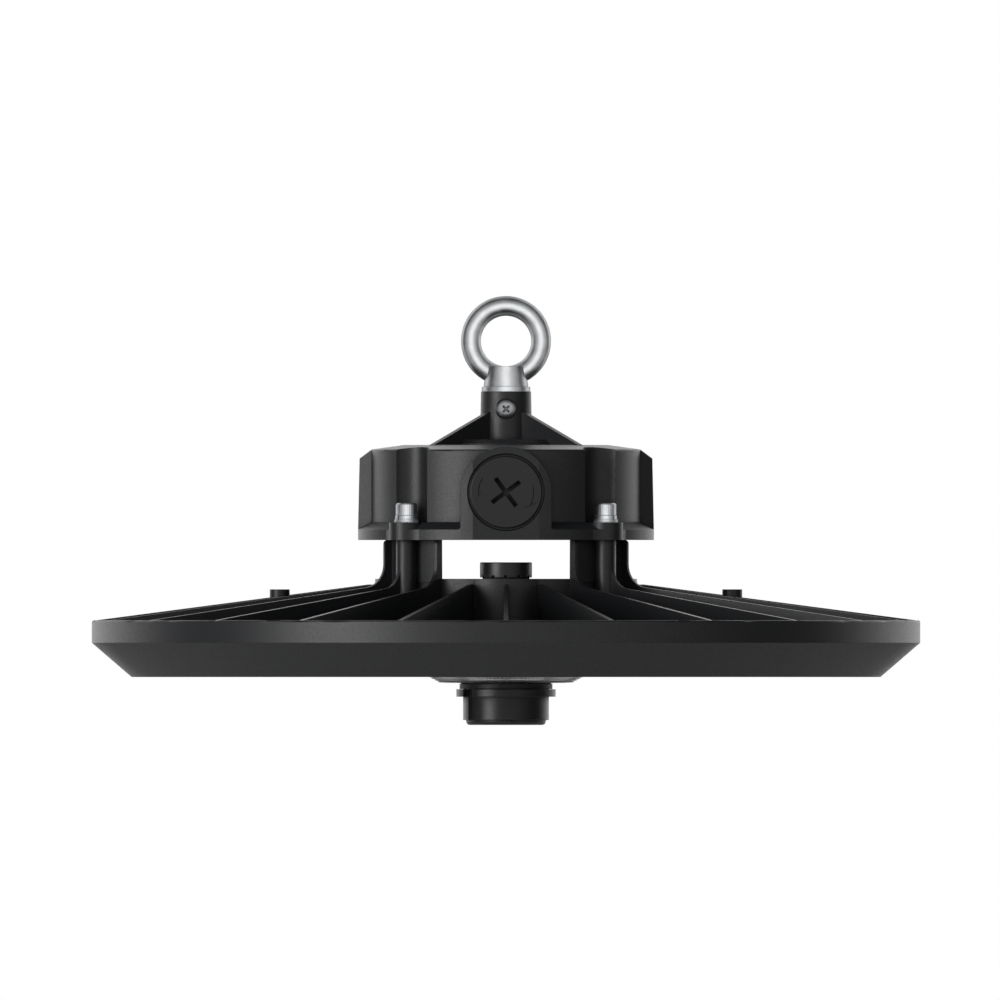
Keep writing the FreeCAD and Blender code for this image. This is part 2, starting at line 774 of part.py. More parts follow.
def make_lens_side():
    body = new_body("lens_plate")
    hole_radius = "socket_barrel_radius + loose_clearance"
    dish_slope = "(dish_rim_radius - dish_face_radius) / dish_depth"
    dish_edge = f"dish_face_radius + ({dish_slope}) * (lens_level - dish_level)"
    plate = new_sketch(body, "XZ_Plane")
    corners = [
        (hole_radius, "dish_level"),
        ("dish_face_radius", "dish_level"),
        (dish_edge, "lens_level"),
    ]
    for ring in range(round(value("chip_ring_count"))):
        middle = f"chip_ring_first + chip_ring_step * {ring}"
        corners += [
            (f"{middle} - lens_band_width / 2", "lens_level"),
            (f"{middle} - lens_band_width / 4", "lens_level - lens_band_height"),
            (f"{middle} + lens_band_width / 4", "lens_level - lens_band_height"),
            (f"{middle} + lens_band_width / 2", "lens_level"),
        ]
    corners += [
        ("lens_radius", "lens_level"),
        ("lens_radius", "lens_top_level"),
        (f"{dish_edge} + dish_wall / 2", "lens_top_level"),
        ("dish_face_radius", "dish_level + dish_wall"),
        (hole_radius, "dish_level + dish_wall"),
    ]
    outline(plate, corners)
    turn_round(body, plate)
    sink = new_sketch(body, "XZ_Plane", ("lens_screw_circle", "0", "0"))
    shank = "small_screw_radius + loose_clearance"
    head = "small_head_radius + running_clearance"
    outline(sink, [
        ("0", "lens_level"),
        (head, "lens_level"),
        (shank, "lens_level + small_head_height"),
        (shank, "lens_top_level"),
        ("0", "lens_top_level"),
    ])
    hole = turn_round(body, sink, "Groove")
    ring_of(body, [hole], "lens_screw_count")

    gasket = turned_piece("lens_gasket", ring_outline(
        "lens_radius + running_clearance - seat_width", "lens_radius",
        "lens_top_level", "lens_seat_level"))
    screw_holes = new_sketch(gasket, "XY_Plane", ("0", "0", "lens_top_level"))
    circle(screw_holes, "lens_screw_circle", "0", shank)
    hole = push(gasket, screw_holes, "gasket_thickness", "Pocket", backwards=True)
    ring_of(gasket, [hole], "lens_screw_count", "holes")

    turned_piece("lens_screws", [
        ("0", "lens_level"),
        ("small_head_radius", "lens_level"),
        ("small_screw_radius", "lens_level + small_head_height"),
        ("small_screw_radius", "lens_level + lens_screw_length"),
        ("0", "lens_level + lens_screw_length"),
    ], "lens_screw_circle", "lens_screw_count")

    board = turned_piece("led_board", ring_outline(
        "board_hole_radius", "board_radius", "board_level", "floor_level"))
    screw_holes = new_sketch(board, "XY_Plane", ("0", "0", "board_level"))
    circle(screw_holes, "board_screw_circle", "0", shank)
    hole = push(board, screw_holes, "board_thickness", "Pocket", backwards=True)
    ring_of(board, [hole], "board_screw_count", "holes")

    turned_piece("board_screws", [
        ("0", "board_level - small_head_height"),
        ("small_head_radius", "board_level - small_head_height"),
        ("small_head_radius", "board_level"),
        ("small_screw_radius", "board_level"),
        ("small_screw_radius", "board_level + board_screw_length"),
        ("0", "board_level + board_screw_length"),
    ], "board_screw_circle", "board_screw_count")

    chips = new_body("led_chips")
    chips.AllowCompound = True
    half = "chip_size / 2"
    row = new_sketch(chips, "XY_Plane", ("0", "0", "board_level - chip_height"))
    for ring in range(round(value("chip_ring_count"))):
        middle = f"chip_ring_first + chip_ring_step * {ring}"
        rectangle(row, f"{middle} - {half}", f"{middle} + {half}", f"-{half}", half)
    line_of_chips = push(chips, row, "chip_height")
    ring_of(chips, [line_of_chips], "chips_per_ring")


# Sensor port: socket through the dish, its nut, seal and contacts, and the blind cap on it

def make_sensor_port():
    groove_low = "cap_flange_level - bayonet_groove_height - running_clearance"
    lug_low = f"{groove_low} + (bayonet_groove_height - bayonet_lug_height) / 2"
    socket = new_body("sensor_socket")
    profile = new_sketch(socket, "XZ_Plane")
    barrel_foot = "neck_level - socket_barrel_drop"
    nut_top = "dish_level + dish_wall + port_nut_height"
    outline(profile, [
        ("socket_bore_radius", barrel_foot),
        ("socket_barrel_radius", barrel_foot),
        ("socket_barrel_radius", "neck_level"),
        ("neck_radius", "neck_level"),
        ("neck_radius", "port_seal_level"),
        ("socket_barrel_radius", "port_seal_level"),
        ("socket_barrel_radius", nut_top),
        ("0", nut_top),
        ("0", f"{nut_top} - socket_web_thickness"),
        ("socket_bore_radius", f"{nut_top} - socket_web_thickness"),
    ])
    turn_round(socket, profile)
    lug = new_sketch(socket, "XY_Plane", ("0", "0", lug_low))
    for side in ("", "-"):
        inner = f"{side}(socket_barrel_radius - cut_over)"
        outer = f"{side}(socket_barrel_radius + bayonet_lug_reach)"
        low, high = (inner, outer) if side == "" else (outer, inner)
        rectangle(lug, low, high, "-bayonet_lug_width / 2", "bayonet_lug_width / 2")
    push(socket, lug, "bayonet_lug_height")

    turned_piece("port_seal", ring_outline(
        "socket_barrel_radius + running_clearance", "neck_radius - port_seal_width / 8",
        "port_seal_level", "dish_level"))

    nut = turned_piece("port_nut", ring_outline(
        "socket_barrel_radius + thread_clearance", "port_nut_radius",
        "dish_level + dish_wall", nut_top))
    flats = new_sketch(nut, "XY_Plane", ("0", "0", "dish_level + dish_wall"))
    circle(flats, "port_nut_radius", "0", "port_nut_height / 2")
    notch = push(nut, flats, "port_nut_height", "Pocket", backwards=True)
    ring_of(nut, [notch], "6", "notches")

    contact_level = f"{nut_top} - socket_web_thickness"
    turned_piece("port_contacts", [
        ("0", f"{contact_level} - socket_barrel_drop"),
        ("contact_radius", f"{contact_level} - socket_barrel_drop"),
        ("contact_radius", contact_level),
        ("0", contact_level),
    ], "contact_circle", "4")

    cap = new_body("sensor_cap")
    profile = new_sketch(cap, "XZ_Plane")
    outline(profile, [
        ("0", "0"),
        ("cap_foot_radius - cap_foot_round", "0"),
        ("cap_foot_radius", "cap_foot_round", "cap_foot_round", "left"),
        ("cap_foot_radius", "cap_side_level"),
        ("cap_radius", "cap_side_level"),
        ("cap_radius", "cap_flange_level"),
        ("cap_flange_radius", "cap_flange_level"),
        ("cap_flange_radius", "cap_top_level"),
        ("cap_bore_radius", "cap_top_level"),
        ("cap_bore_radius", f"{groove_low} + bayonet_groove_height"),
        ("bayonet_groove_radius", f"{groove_low} + bayonet_groove_height"),
        ("bayonet_groove_radius", groove_low),
        ("cap_bore_radius", groove_low),
        ("cap_bore_radius", "cap_floor_thickness"),
        ("0", "cap_floor_thickness"),
    ])
    turn_round(cap, profile)
    flutes = new_sketch(cap, "XZ_Plane", ("0", "0", "0"), value("cap_flute_angle"))
    rectangle(flutes, "cap_radius - cap_flute_depth", "cap_flange_radius + cut_over",
              "cap_side_level - cap_flute_depth / 2", "cap_top_level")
    flute = push(cap, flutes, "cap_flute_width", "Pocket", both_ways=True)
    ring_of(cap, [flute], "2", "flutes")
    # The cap goes on with its entries over the lugs and is turned a quarter to lock
    entries = new_sketch(cap, "XY_Plane", ("0", "0", "cap_top_level"))
    entry_half = "bayonet_lug_width / 2 + loose_clearance"
    for side in ("", "-"):
        inner = f"{side}(cap_bore_radius - cut_over)"
        outer = f"{side}bayonet_groove_radius"
        low, high = (inner, outer) if side == "" else (outer, inner)
        rectangle(entries, f"-({entry_half})", entry_half, low, high)
    push(cap, entries, f"cap_top_level - ({groove_low})", "Pocket")


# Driver housing: cup with pads, screw channels, crown ribs and stem, one casting

def notched_disc(name, radius, notch, height):
    """A disc with a round notch about each corner screw, as the housing and its plate share."""
    disc = cylinder(name + "_disc", radius, height)
    notches = []
    for corner in range(CORNERS):
        across, back = around("screw_circle", DIAGONAL + corner * RIGHT_ANGLE)
        tool = cylinder(f"{name}_notch_{corner}", notch, height)
        place(tool, across, back)
        notches.append(tool)
    group = document.addObject("Part::MultiFuse", name + "_notches")
    group.Shapes = notches
    shape = document.addObject("Part::Cut", name + "_shape")
    shape.Base = disc
    shape.Tool = group
    return shape


def cut_away(name, base, tools):
    """The base with every tool cut from it."""
    result = document.addObject("Part::Cut", name)
    result.Label = name
    result.Base = base
    if len(tools) == 1:
        result.Tool = tools[0]
    else:
        result.Tool = document.addObject("Part::MultiFuse", name + "_tools")
        result.Tool.Shapes = tools
    document.recompute()
    return result


def lug_blend_angle():
    """Angle from the diagonal at which the lug's blend sinks into the flange."""
    reach = value("flange_radius + lug_blend - lug_blend_sink")
    arm = value("lug_radius + lug_blend")
    centre = value("screw_circle")
    cosine = (reach ** 2 + centre ** 2 - arm ** 2) / (2 * reach * centre)
    return math.degrees(math.acos(cosine))


def plate_screw_places():
    """Where the four small screws of the base plate go, either side of the X axis."""
    offset = value("plate_screw_angle")
    half = FULL_TURN / 2
    return [around("plate_screw_circle", angle) for angle in (offset, half - offset, half + offset, -offset)]


def make_housing_outside():
    body = new_body("housing_outside")
    profile = new_sketch(body, "XZ_Plane")
    outline(profile, [
        ("0", "housing_level"),
        ("flange_radius", "housing_level"),
        ("flange_radius", "flange_top_level"),
        ("wall_radius", "ledge_top_level"),
        ("wall_radius", "wall_top_level - edge_round"),
        ("wall_radius - edge_round",
         "wall_top_level + edge_round * crown_rise / (wall_radius - crown_radius)", "edge_round", "left"),
        ("crown_radius", "crown_level"),
        ("step_radius", "crown_level"),
        ("step_radius", "crown_level + step_foot"),
        ("step_top_radius", "step_level"),
        ("stem_radius", "step_level"),
        ("stem_top_radius", "stem_top_level"),
        ("0", "stem_top_level"),
    ])
    turn_round(body, profile)

    flank = "(flange_radius - wall_radius + wall_radius / 8) * tan(side_pad_flank)"
    side_pads = new_sketch(body, "XY_Plane", ("0", "0", "flange_top_level - flange_height / 2"))
    for side in ("", "-"):
        outline(side_pads, [
            (f"{side}flange_radius", "-side_pad_half_width"),
            (f"{side}flange_radius", "side_pad_half_width"),
            (f"{side}(wall_radius * 7 / 8)", f"side_pad_half_width + {flank}"),
            (f"{side}(wall_radius * 7 / 8)", f"-side_pad_half_width - {flank}"),
        ])
    push(body, side_pads, "side_pad_height + flange_height / 2 + side_pad_bevel_height")
    trim = new_sketch(body, "XZ_Plane")
    outside = "flange_radius * 1.1"
    pad_top = "flange_top_level + side_pad_height"
    outline(trim, [
        ("flange_radius", "flange_top_level"),
        (outside, "flange_top_level"),
        (outside, "crown_level"),
        ("wall_radius", "crown_level"),
        ("wall_radius", f"{pad_top} + side_pad_bevel_height"),
        ("flange_radius - side_pad_draft", pad_top),
    ])
    turn_round(body, trim, "Groove")

    pad = new_sketch(body, "XZ_Plane")
    pad_foot = "(pad_half_width + pad_foot_round)"
    outline(pad, [
        (f"-{pad_foot}", "flange_top_level - flange_height / 2"),
        (pad_foot, "flange_top_level - flange_height / 2"),
        (pad_foot, "flange_top_level"),
        ("pad_half_width", "flange_top_level + pad_foot_round", "pad_foot_round", "right"),
        ("pad_half_width", "plug_level"),
        ("0", "plug_level + pad_half_width", "pad_half_width", "left"),
        ("-pad_half_width", "plug_level", "pad_half_width", "left"),
        ("-pad_half_width", "flange_top_level + pad_foot_round"),
        (f"-{pad_foot}", "flange_top_level", "pad_foot_round", "right"),
    ])
    push(body, pad, f"{outside} * 2", both_ways=True)
    pad_ends = new_sketch(body, "XZ_Plane")
    outline(pad_ends, [
        ("flange_radius", "housing_level"),
        (f"{outside} * 1.1", "housing_level"),
        (f"{outside} * 1.1", "stem_top_level"),
        ("flange_radius", "stem_top_level"),
    ])
    turn_round(body, pad_ends, "Groove")

    ribs = new_sketch(body, "XZ_Plane", ("0", "0", "0"), DIAGONAL)
    outline(ribs, [
        ("stem_radius / 2", "crown_level - crown_rise / 2"),
        ("rib_reach", "crown_level - crown_rise / 2"),
        ("rib_reach", "crown_level"),
        ("stem_top_radius", "crown_level + rib_height"),
        ("stem_radius / 2", "crown_level + rib_height"),
    ])
    rib = push(body, ribs, "rib_thickness", both_ways=True)
    ring_of(body, [rib], str(CORNERS), "ribs")

    lugs = new_sketch(body, "XY_Plane", ("0", "0", "housing_level"))
    blend_angle = lug_blend_angle()
    lug_centre = around("screw_circle", DIAGONAL)
    blend_high = around("flange_radius - lug_blend_sink", DIAGONAL + blend_angle)
    blend_low = around("flange_radius - lug_blend_sink", DIAGONAL - blend_angle)
    lug_share = value("lug_radius / (lug_radius + lug_blend)")
    corners = []
    for blend_side in (-1, 1):
        bend = around("flange_radius + lug_blend - lug_blend_sink", DIAGONAL + blend_side * blend_angle)
        corners.append(tuple(f"({start}) + (({end}) - ({start})) * {lug_share:.9f}"
                             for start, end in zip(lug_centre, bend)))
    inside = around("cavity_radius", DIAGONAL)
    outline(lugs, [
        blend_low,
        corners[0] + ("lug_blend", "right"),
        corners[1] + ("lug_radius", "left"),
        blend_high + ("lug_blend", "right"),
        inside,
    ])
    lug = push(body, lugs, "flange_height")
    ring_of(body, [lug], str(CORNERS), "lugs")

    channels = new_sketch(body, "XY_Plane", ("0", "0", "screw_seat_level"))
    circle(channels, lug_centre[0], lug_centre[1], "channel_radius")
    channel = push(body, channels, "crown_level - screw_seat_level + cut_over", "Pocket", backwards=True)
    ring_of(body, [channel], str(CORNERS), "channels")
    seats = new_sketch(body, "XY_Plane", ("0", "0", "housing_level"))
    circle(seats, lug_centre[0], lug_centre[1], "lug_radius")
    seat = push(body, seats, "seat_height")
    ring_of(body, [seat], str(CORNERS), "seats")
    return body


def make_housing():
    outside = make_housing_outside()
    cavity = notched_disc("cavity", "cavity_radius", "channel_radius + channel_wall",
                          "roof_level - housing_level")
    place(cavity, up="housing_level")
    bosses = []
    for number, (across, back) in enumerate(plate_screw_places()):
        boss = cylinder(f"plate_boss_{number}", "plate_boss_radius", "roof_level - housing_level + cut_over")
        place(boss, across, back, "housing_level - cut_over")
        bosses.append(boss)
    hollow = cut_away("cavity_round_bosses", cavity, bosses)

    recess = notched_disc("plate_recess", "plate_recess_radius", "plate_notch_radius",
                          "plate_seat_level - housing_level + cut_over")
    place(recess, up="housing_level - cut_over")
    tools = [hollow, recess]
    for corner in range(CORNERS):
        across, back = around("screw_circle", DIAGONAL + corner * RIGHT_ANGLE)
        hole = cylinder(f"corner_hole_{corner}", "corner_hole_radius", "seat_height + 2")
        place(hole, across, back, "housing_level - cut_over")
        tools.append(hole)
    for number, (across, back) in enumerate(plate_screw_places()):
        hole = cylinder(f"plate_thread_{number}", "small_screw_radius + thread_clearance", "plate_screw_length")
        place(hole, across, back, "housing_level + thread_clearance")
        tools.append(hole)

    flat_depth = "flange_radius - pad_flat_offset + cut_over"
    for number, (side, rotation) in enumerate((("-", UPRIGHT_TO_FRONT), ("", UPRIGHT_TO_BACK))):
        flat = document.addObject("Part::Box", f"pad_flat_{number}")
        flat.setExpression("Length", bound("pad_half_width * 2"))
        flat.setExpression("Width", bound(flat_depth))
        flat.setExpression("Height", bound("crown_level - housing_level + 2"))
        edge = f"-pad_flat_offset - ({flat_depth})" if side == "-" else "pad_flat_offset"
        place(flat, "-pad_half_width", edge, "housing_level - cut_over")
        tools.append(flat)
    plug_recess = cylinder("plug_recess", "plug_recess_radius", "plug_recess_depth + cut_over")
    place(plug_recess, "0", "-plug_seat_offset", "plug_level", UPRIGHT_TO_FRONT)
    plug_bore = cylinder("plug_bore", "plug_spigot_radius + running_clearance", "flange_radius / 2")
    place(plug_bore, "0", "-flange_radius / 2", "plug_level", UPRIGHT_TO_FRONT)
    plug_inner_face = cylinder("plug_inner_face", "plug_inner_face_radius", "plug_wall_inside / 4")
    place(plug_inner_face, "0", "-plug_wall_inside * 3 / 4", "plug_level", UPRIGHT_TO_FRONT)
    lug_slot = document.addObject("Part::Box", "plug_lug_slot")
    slot_width = "(plug_lug_width + loose_clearance * 2)"
    slot_length = "(plug_lug_radius + loose_clearance)"
    lug_slot.setExpression("Length", bound(slot_width))
    lug_slot.setExpression("Width", bound("flange_radius / 2"))
    lug_slot.setExpression("Height", bound(f"{slot_length} * 2"))
    place(lug_slot, f"-{slot_width} / 2", "-plug_seat_offset - cut_over", f"plug_level - {slot_length}")
    gland_bore = cylinder("gland_bore", "gland_thread_radius + thread_clearance", "flange_radius / 2")
    place(gland_bore, "0", "flange_radius / 2", "plug_level", UPRIGHT_TO_BACK)
    gland_inner_face = cylinder("gland_inner_face", "plug_inner_face_radius", "plug_wall_inside / 4")
    place(gland_inner_face, "0", "plug_wall_inside * 3 / 4", "plug_level", UPRIGHT_TO_BACK)
    stem_bore = cylinder("stem_bore", "stem_bore_radius + thread_clearance", "stem_bore_depth + cut_over")
    place(stem_bore, up="stem_top_level - stem_bore_depth")
    lock_bore = cylinder("lock_bore", "lock_screw_radius + thread_clearance", "stem_radius * 2")
    place(lock_bore, "0", "0", "lock_screw_level", UPRIGHT_TO_FRONT)
    lock_seat = cylinder("lock_seat", "lock_head_radius + loose_clearance", "stem_radius")
    place(lock_seat, "0", "-(stem_top_radius - lock_seat_inset)", "lock_screw_level", UPRIGHT_TO_FRONT)
    tools += [plug_recess, plug_bore, plug_inner_face, lug_slot, gland_bore, gland_inner_face,
              stem_bore, lock_bore, lock_seat]
    return cut_away("driver_housing", outside, tools)


# Base plate, gasket and screws under the housing, and the sleeve that carries the wires down

def make_base_plate():
    plate = notched_disc("plate_blank", "plate_recess_radius - loose_clearance",
                         "plate_notch_radius + loose_clearance", "plate_thickness")
    place(plate, up="housing_level")
    tools = []
    for number, (across, back) in enumerate(plate_screw_places()):
        hole = document.addObject("Part::Cone", f"plate_countersink_{number}")
        hole.setExpression("Radius1", bound("small_head_radius + running_clearance"))
        hole.setExpression("Radius2", bound("small_screw_radius + running_clearance"))
        hole.setExpression("Height", bound("small_head_height"))
        place(hole, across, back, "housing_level")
        through = cylinder(f"plate_through_{number}", "small_screw_radius + running_clearance",
                           "plate_thickness + cut_over")
        place(through, across, back, "housing_level")
        tools += [hole, through]
    sleeve_place = around("sleeve_offset", value("sleeve_angle"))
    sleeve_hole = cylinder("plate_sleeve_hole", "sleeve_radius + running_clearance", "plate_thickness + 2")
    place(sleeve_hole, sleeve_place[0], sleeve_place[1], "housing_level - cut_over")
    cut_away("housing_base_plate", plate, tools + [sleeve_hole])

    ring = notched_disc("gasket_blank", "plate_recess_radius - loose_clearance",
                        "plate_notch_radius + loose_clearance", "plate_gasket_thickness")
    place(ring, up="plate_top_level")
    inside = notched_disc("gasket_inside", "cavity_radius", "channel_radius + channel_wall",
                          "plate_gasket_thickness + 2")
    place(inside, up="plate_top_level - cut_over")
    cut_away("housing_gasket", ring, [inside])

    screws = []
    for number, (across, back) in enumerate(plate_screw_places()):
        screw = turned_piece(f"plate_screw_{number}", [
            ("0", "0"),
            ("small_head_radius", "0"),
            ("small_screw_radius", "small_head_height"),
            ("small_screw_radius", "plate_screw_length - cut_over"),
            ("0", "plate_screw_length - cut_over"),
        ])
        place(screw, across, back, "housing_level")
        screws.append(screw)
    group = document.addObject("Part::Compound", "base_plate_screws")
    group.Links = screws

    sleeve = turned_piece("wire_sleeve", [
        ("sleeve_radius / 2", "hub_top_level - hub_wall - sleeve_end"),
        ("sleeve_radius", "hub_top_level - hub_wall - sleeve_end"),
        ("sleeve_radius", "hub_top_level"),
        ("sleeve_collar_radius", "hub_top_level"),
        ("sleeve_collar_radius", "hub_top_level + sleeve_collar_height"),
        ("sleeve_radius", "hub_top_level + sleeve_collar_height"),
        ("sleeve_radius", "housing_level - sleeve_collar_height"),
        ("sleeve_collar_radius", "housing_level - sleeve_collar_height"),
        ("sleeve_collar_radius", "housing_level"),
        ("sleeve_radius", "housing_level"),
        ("sleeve_radius", "plate_top_level + sleeve_end"),
        ("sleeve_radius / 2", "plate_top_level + sleeve_end"),
    ])
    place(sleeve, sleeve_place[0], sleeve_place[1])


# Corner screws and washers that hold the housing on the heat sink's posts

def make_corner_fasteners():
    flat_top = "screw_seat_level + flat_washer_thickness"
    spring_top = f"{flat_top} + spring_washer_thickness"
    head_top = f"{spring_top} + corner_head_height"
    hole = "corner_screw_radius + loose_clearance / 2"
    washers = turned_piece("corner_flat_washers", ring_outline(
        hole, "flat_washer_radius", "screw_seat_level", flat_top), "screw_circle", str(CORNERS))
    washers.Placement.Rotation = QUARTER_DIAGONAL

    springs = new_body("corner_spring_washers")
    springs.AllowCompound = True
    profile = new_sketch(springs, "XZ_Plane", ("screw_circle", "0", "0"))
    outline(profile, ring_outline(hole, "spring_washer_radius", flat_top, spring_top))
    ring = turn_round(springs, profile)
    ring_of(springs, [ring], str(CORNERS))
    slit = new_sketch(springs, "XY_Plane", ("0", "0", flat_top))
    rectangle(slit, "screw_circle", "screw_circle + spring_washer_radius + cut_over",
              "-spring_washer_slit / 2", "spring_washer_slit / 2")
    cut = push(springs, slit, "spring_washer_thickness", "Pocket", backwards=True)
    ring_of(springs, [cut], str(CORNERS), "slits")
    springs.Placement.Rotation = QUARTER_DIAGONAL

    screws = new_body("corner_screws")
    screws.AllowCompound = True
    profile = new_sketch(screws, "XZ_Plane", ("screw_circle", "0", "0"))
    outline(profile, [
        ("0", f"{spring_top} - corner_screw_length"),
        ("corner_screw_radius", f"{spring_top} - corner_screw_length"),
        ("corner_screw_radius", spring_top),
        ("corner_head_radius", spring_top),
        ("corner_head_radius", f"{head_top} - corner_head_radius / 12"),
        ("corner_head_radius * 11 / 12", head_top),
        ("0", head_top),
    ])
    solid = turn_round(screws, profile)
    ring_of(screws, [solid], str(CORNERS))
    socket = new_sketch(screws, "XY_Plane", ("screw_circle", "0", head_top))
    hexagon(socket, "corner_socket_flats")
    key = push(screws, socket, "corner_socket_depth", "Pocket")
    ring_of(screws, [key], str(CORNERS), "keys")
    screws.Placement.Rotation = QUARTER_DIAGONAL


# Breather plug and its seal on the hub, over the boss that faces the front

def make_vent():
    seal = turned_piece("vent_seal", ring_outline(
        "vent_thread_radius + running_clearance", "vent_seal_radius", "hub_top_level", "vent_seat_level"))
    place(seal, "0", "-vent_offset")
    plug = new_body("vent_plug")
    profile = new_sketch(plug, "XZ_Plane")
    cap_top = "vent_seat_level + vent_cap_height"
    outline(profile, [
        ("vent_thread_radius / 2", "hub_top_level - vent_thread_length"),
        ("vent_thread_radius", "hub_top_level - vent_thread_length"),
        ("vent_thread_radius", "vent_seat_level"),
        ("vent_cap_radius", "vent_seat_level"),
        ("vent_cap_radius", f"{cap_top} - vent_cap_edge"),
        ("vent_cap_radius - vent_cap_edge", cap_top),
        ("0", cap_top),
        ("0", "vent_seat_level + vent_cap_height / 4"),
        ("vent_thread_radius / 2", "vent_seat_level + vent_cap_height / 4"),
    ])
    turn_round(plug, profile)
    slots = new_sketch(plug, "XY_Plane", ("0", "0", "vent_seat_level"))
    rectangle(slots, "vent_cap_radius * 0.9", "vent_cap_radius + cut_over",
              "-vent_cap_radius / 16", "vent_cap_radius / 16")
    slot = push(plug, slots, "vent_slot_height", "Pocket", backwards=True)
    ring_of(plug, [slot], "vent_slot_count", "slots")
    place(plug, "0", "-vent_offset")


# Cover plug, its seal and the selector switch behind it

def make_cover_plug():
    # Modelled standing on its seat with the face up, then laid over to face the front
    face = "plug_recess_depth - plug_face_inset"
    under_head = f"{face} - plug_head_thickness"
    plug = new_body("cover_plug")
    profile = new_sketch(plug, "XZ_Plane")
    spigot_end = f"{face} - plug_spigot_length - plug_head_thickness"
    outline(profile, [
        ("0", f"{under_head} - plug_head_thickness / 2"),
        ("plug_bore_radius", f"{under_head} - plug_head_thickness / 2"),
        ("plug_bore_radius", spigot_end),
        ("plug_spigot_radius", spigot_end),
        ("plug_spigot_radius", under_head),
        ("plug_rim_radius", under_head),
        ("plug_rim_radius", f"{face} - plug_rim_drop"),
        ("plug_face_radius", f"{face} - plug_rim_drop"),
        ("plug_face_radius", f"{face} - plug_face_edge"),
        ("plug_face_radius - plug_face_edge", face),
        ("0", face),
    ])
    turn_round(plug, profile)
    lug_top = "plug_wall_inside - plug_seat_offset - loose_clearance"
    lugs = new_sketch(plug, "XY_Plane", ("0", "0", f"{lug_top} - plug_lug_thickness"))
    for side in ("", "-"):
        inner = f"{side}(plug_spigot_radius - cut_over)"
        outer = f"{side}plug_lug_radius"
        low, high = (inner, outer) if side == "" else (outer, inner)
        rectangle(lugs, low, high, "-plug_lug_width / 2", "plug_lug_width / 2")
    push(plug, lugs, "plug_lug_thickness")
    recess = new_sketch(plug, "XY_Plane", ("0", "0", face))
    cross(recess, "plug_cross_length", "plug_cross_width", value("plug_cross_angle"))
    push(plug, recess, "plug_cross_depth", "Pocket")
    place(plug, "0", "-plug_seat_offset", "plug_level", UPRIGHT_TO_FRONT)

    seal = turned_piece("cover_plug_seal", ring_outline(
        "plug_spigot_radius + running_clearance", "plug_face_radius - plug_face_edge",
        "0", under_head))
    place(seal, "0", "-plug_seat_offset", "plug_level", UPRIGHT_TO_FRONT)

    board = box("selector_board", "selector_board_width", "selector_board_thickness",
                "selector_board_height")
    place(board, "0", "-selector_offset", "driver_top_level")
    switch = box("selector_switch", "selector_switch_width", "selector_switch_depth",
                 "selector_switch_height")
    place(switch, "0", "-selector_offset - selector_board_thickness / 2 - selector_switch_depth / 2",
          "plug_level - selector_switch_height / 2")


# Driver: board on standoffs with its large components and terminal block

def make_driver():
    board = cylinder("driver_board", "driver_board_radius", "driver_board_thickness")
    board.Label = "driver_board"
    place(board, up="driver_board_level")

    standoffs = turned_piece("driver_standoffs", [
        ("0", "plate_top_level"),
        ("standoff_radius", "plate_top_level"),
        ("standoff_radius", "driver_board_level"),
        ("0", "driver_board_level"),
    ], "standoff_circle", str(CORNERS))
    standoffs.Placement.Rotation = FreeCAD.Rotation(FreeCAD.Vector(0, 0, 1), DIAGONAL)

    transformer = box("power_transformer", "transformer_length", "transformer_width",
                      "transformer_height")
    place(transformer, "-transformer_length / 2 - part_gap", "0", "driver_top_level")

    capacitors = []
    for number, side in enumerate(("-", "")):
        can = cylinder(f"capacitor_{number}", "capacitor_radius", "capacitor_height")
        place(can, "capacitor_radius * 2", f"{side}capacitor_pitch / 2", "driver_top_level")
        capacitors.append(can)
    group = document.addObject("Part::Compound", "bulk_capacitors")
    group.Links = capacitors

    choke = turned_piece("input_choke", ring_outline(
        "choke_hole_radius", "choke_radius", "0", "choke_height"))
    place(choke, "transformer_length", "terminal_width * 2", "driver_top_level")

    terminal = box("terminal_block", "terminal_length", "terminal_width", "terminal_height")
    ways = value("terminal_ways")
    pitch = f"terminal_length / {ways:.0f}"
    entries = new_sketch(terminal, "XZ_Plane", ("0", "0", "-terminal_width / 2"))
    for way in range(round(ways)):
        middle = f"{pitch} * ({way} - ({ways:.0f} - 1) / 2)"
        rectangle(entries, f"{middle} - {pitch} / 4", f"{middle} + {pitch} / 4",
                  "terminal_height / 5", "terminal_height / 2")
    push(terminal, entries, "terminal_width / 3", "Pocket", backwards=True)
    place(terminal, "-terminal_length / 2 + part_gap", "selector_offset - terminal_width", "driver_top_level")


# Cable gland at the back: washer, body, rubber insert, dome nut and the lock nut inside

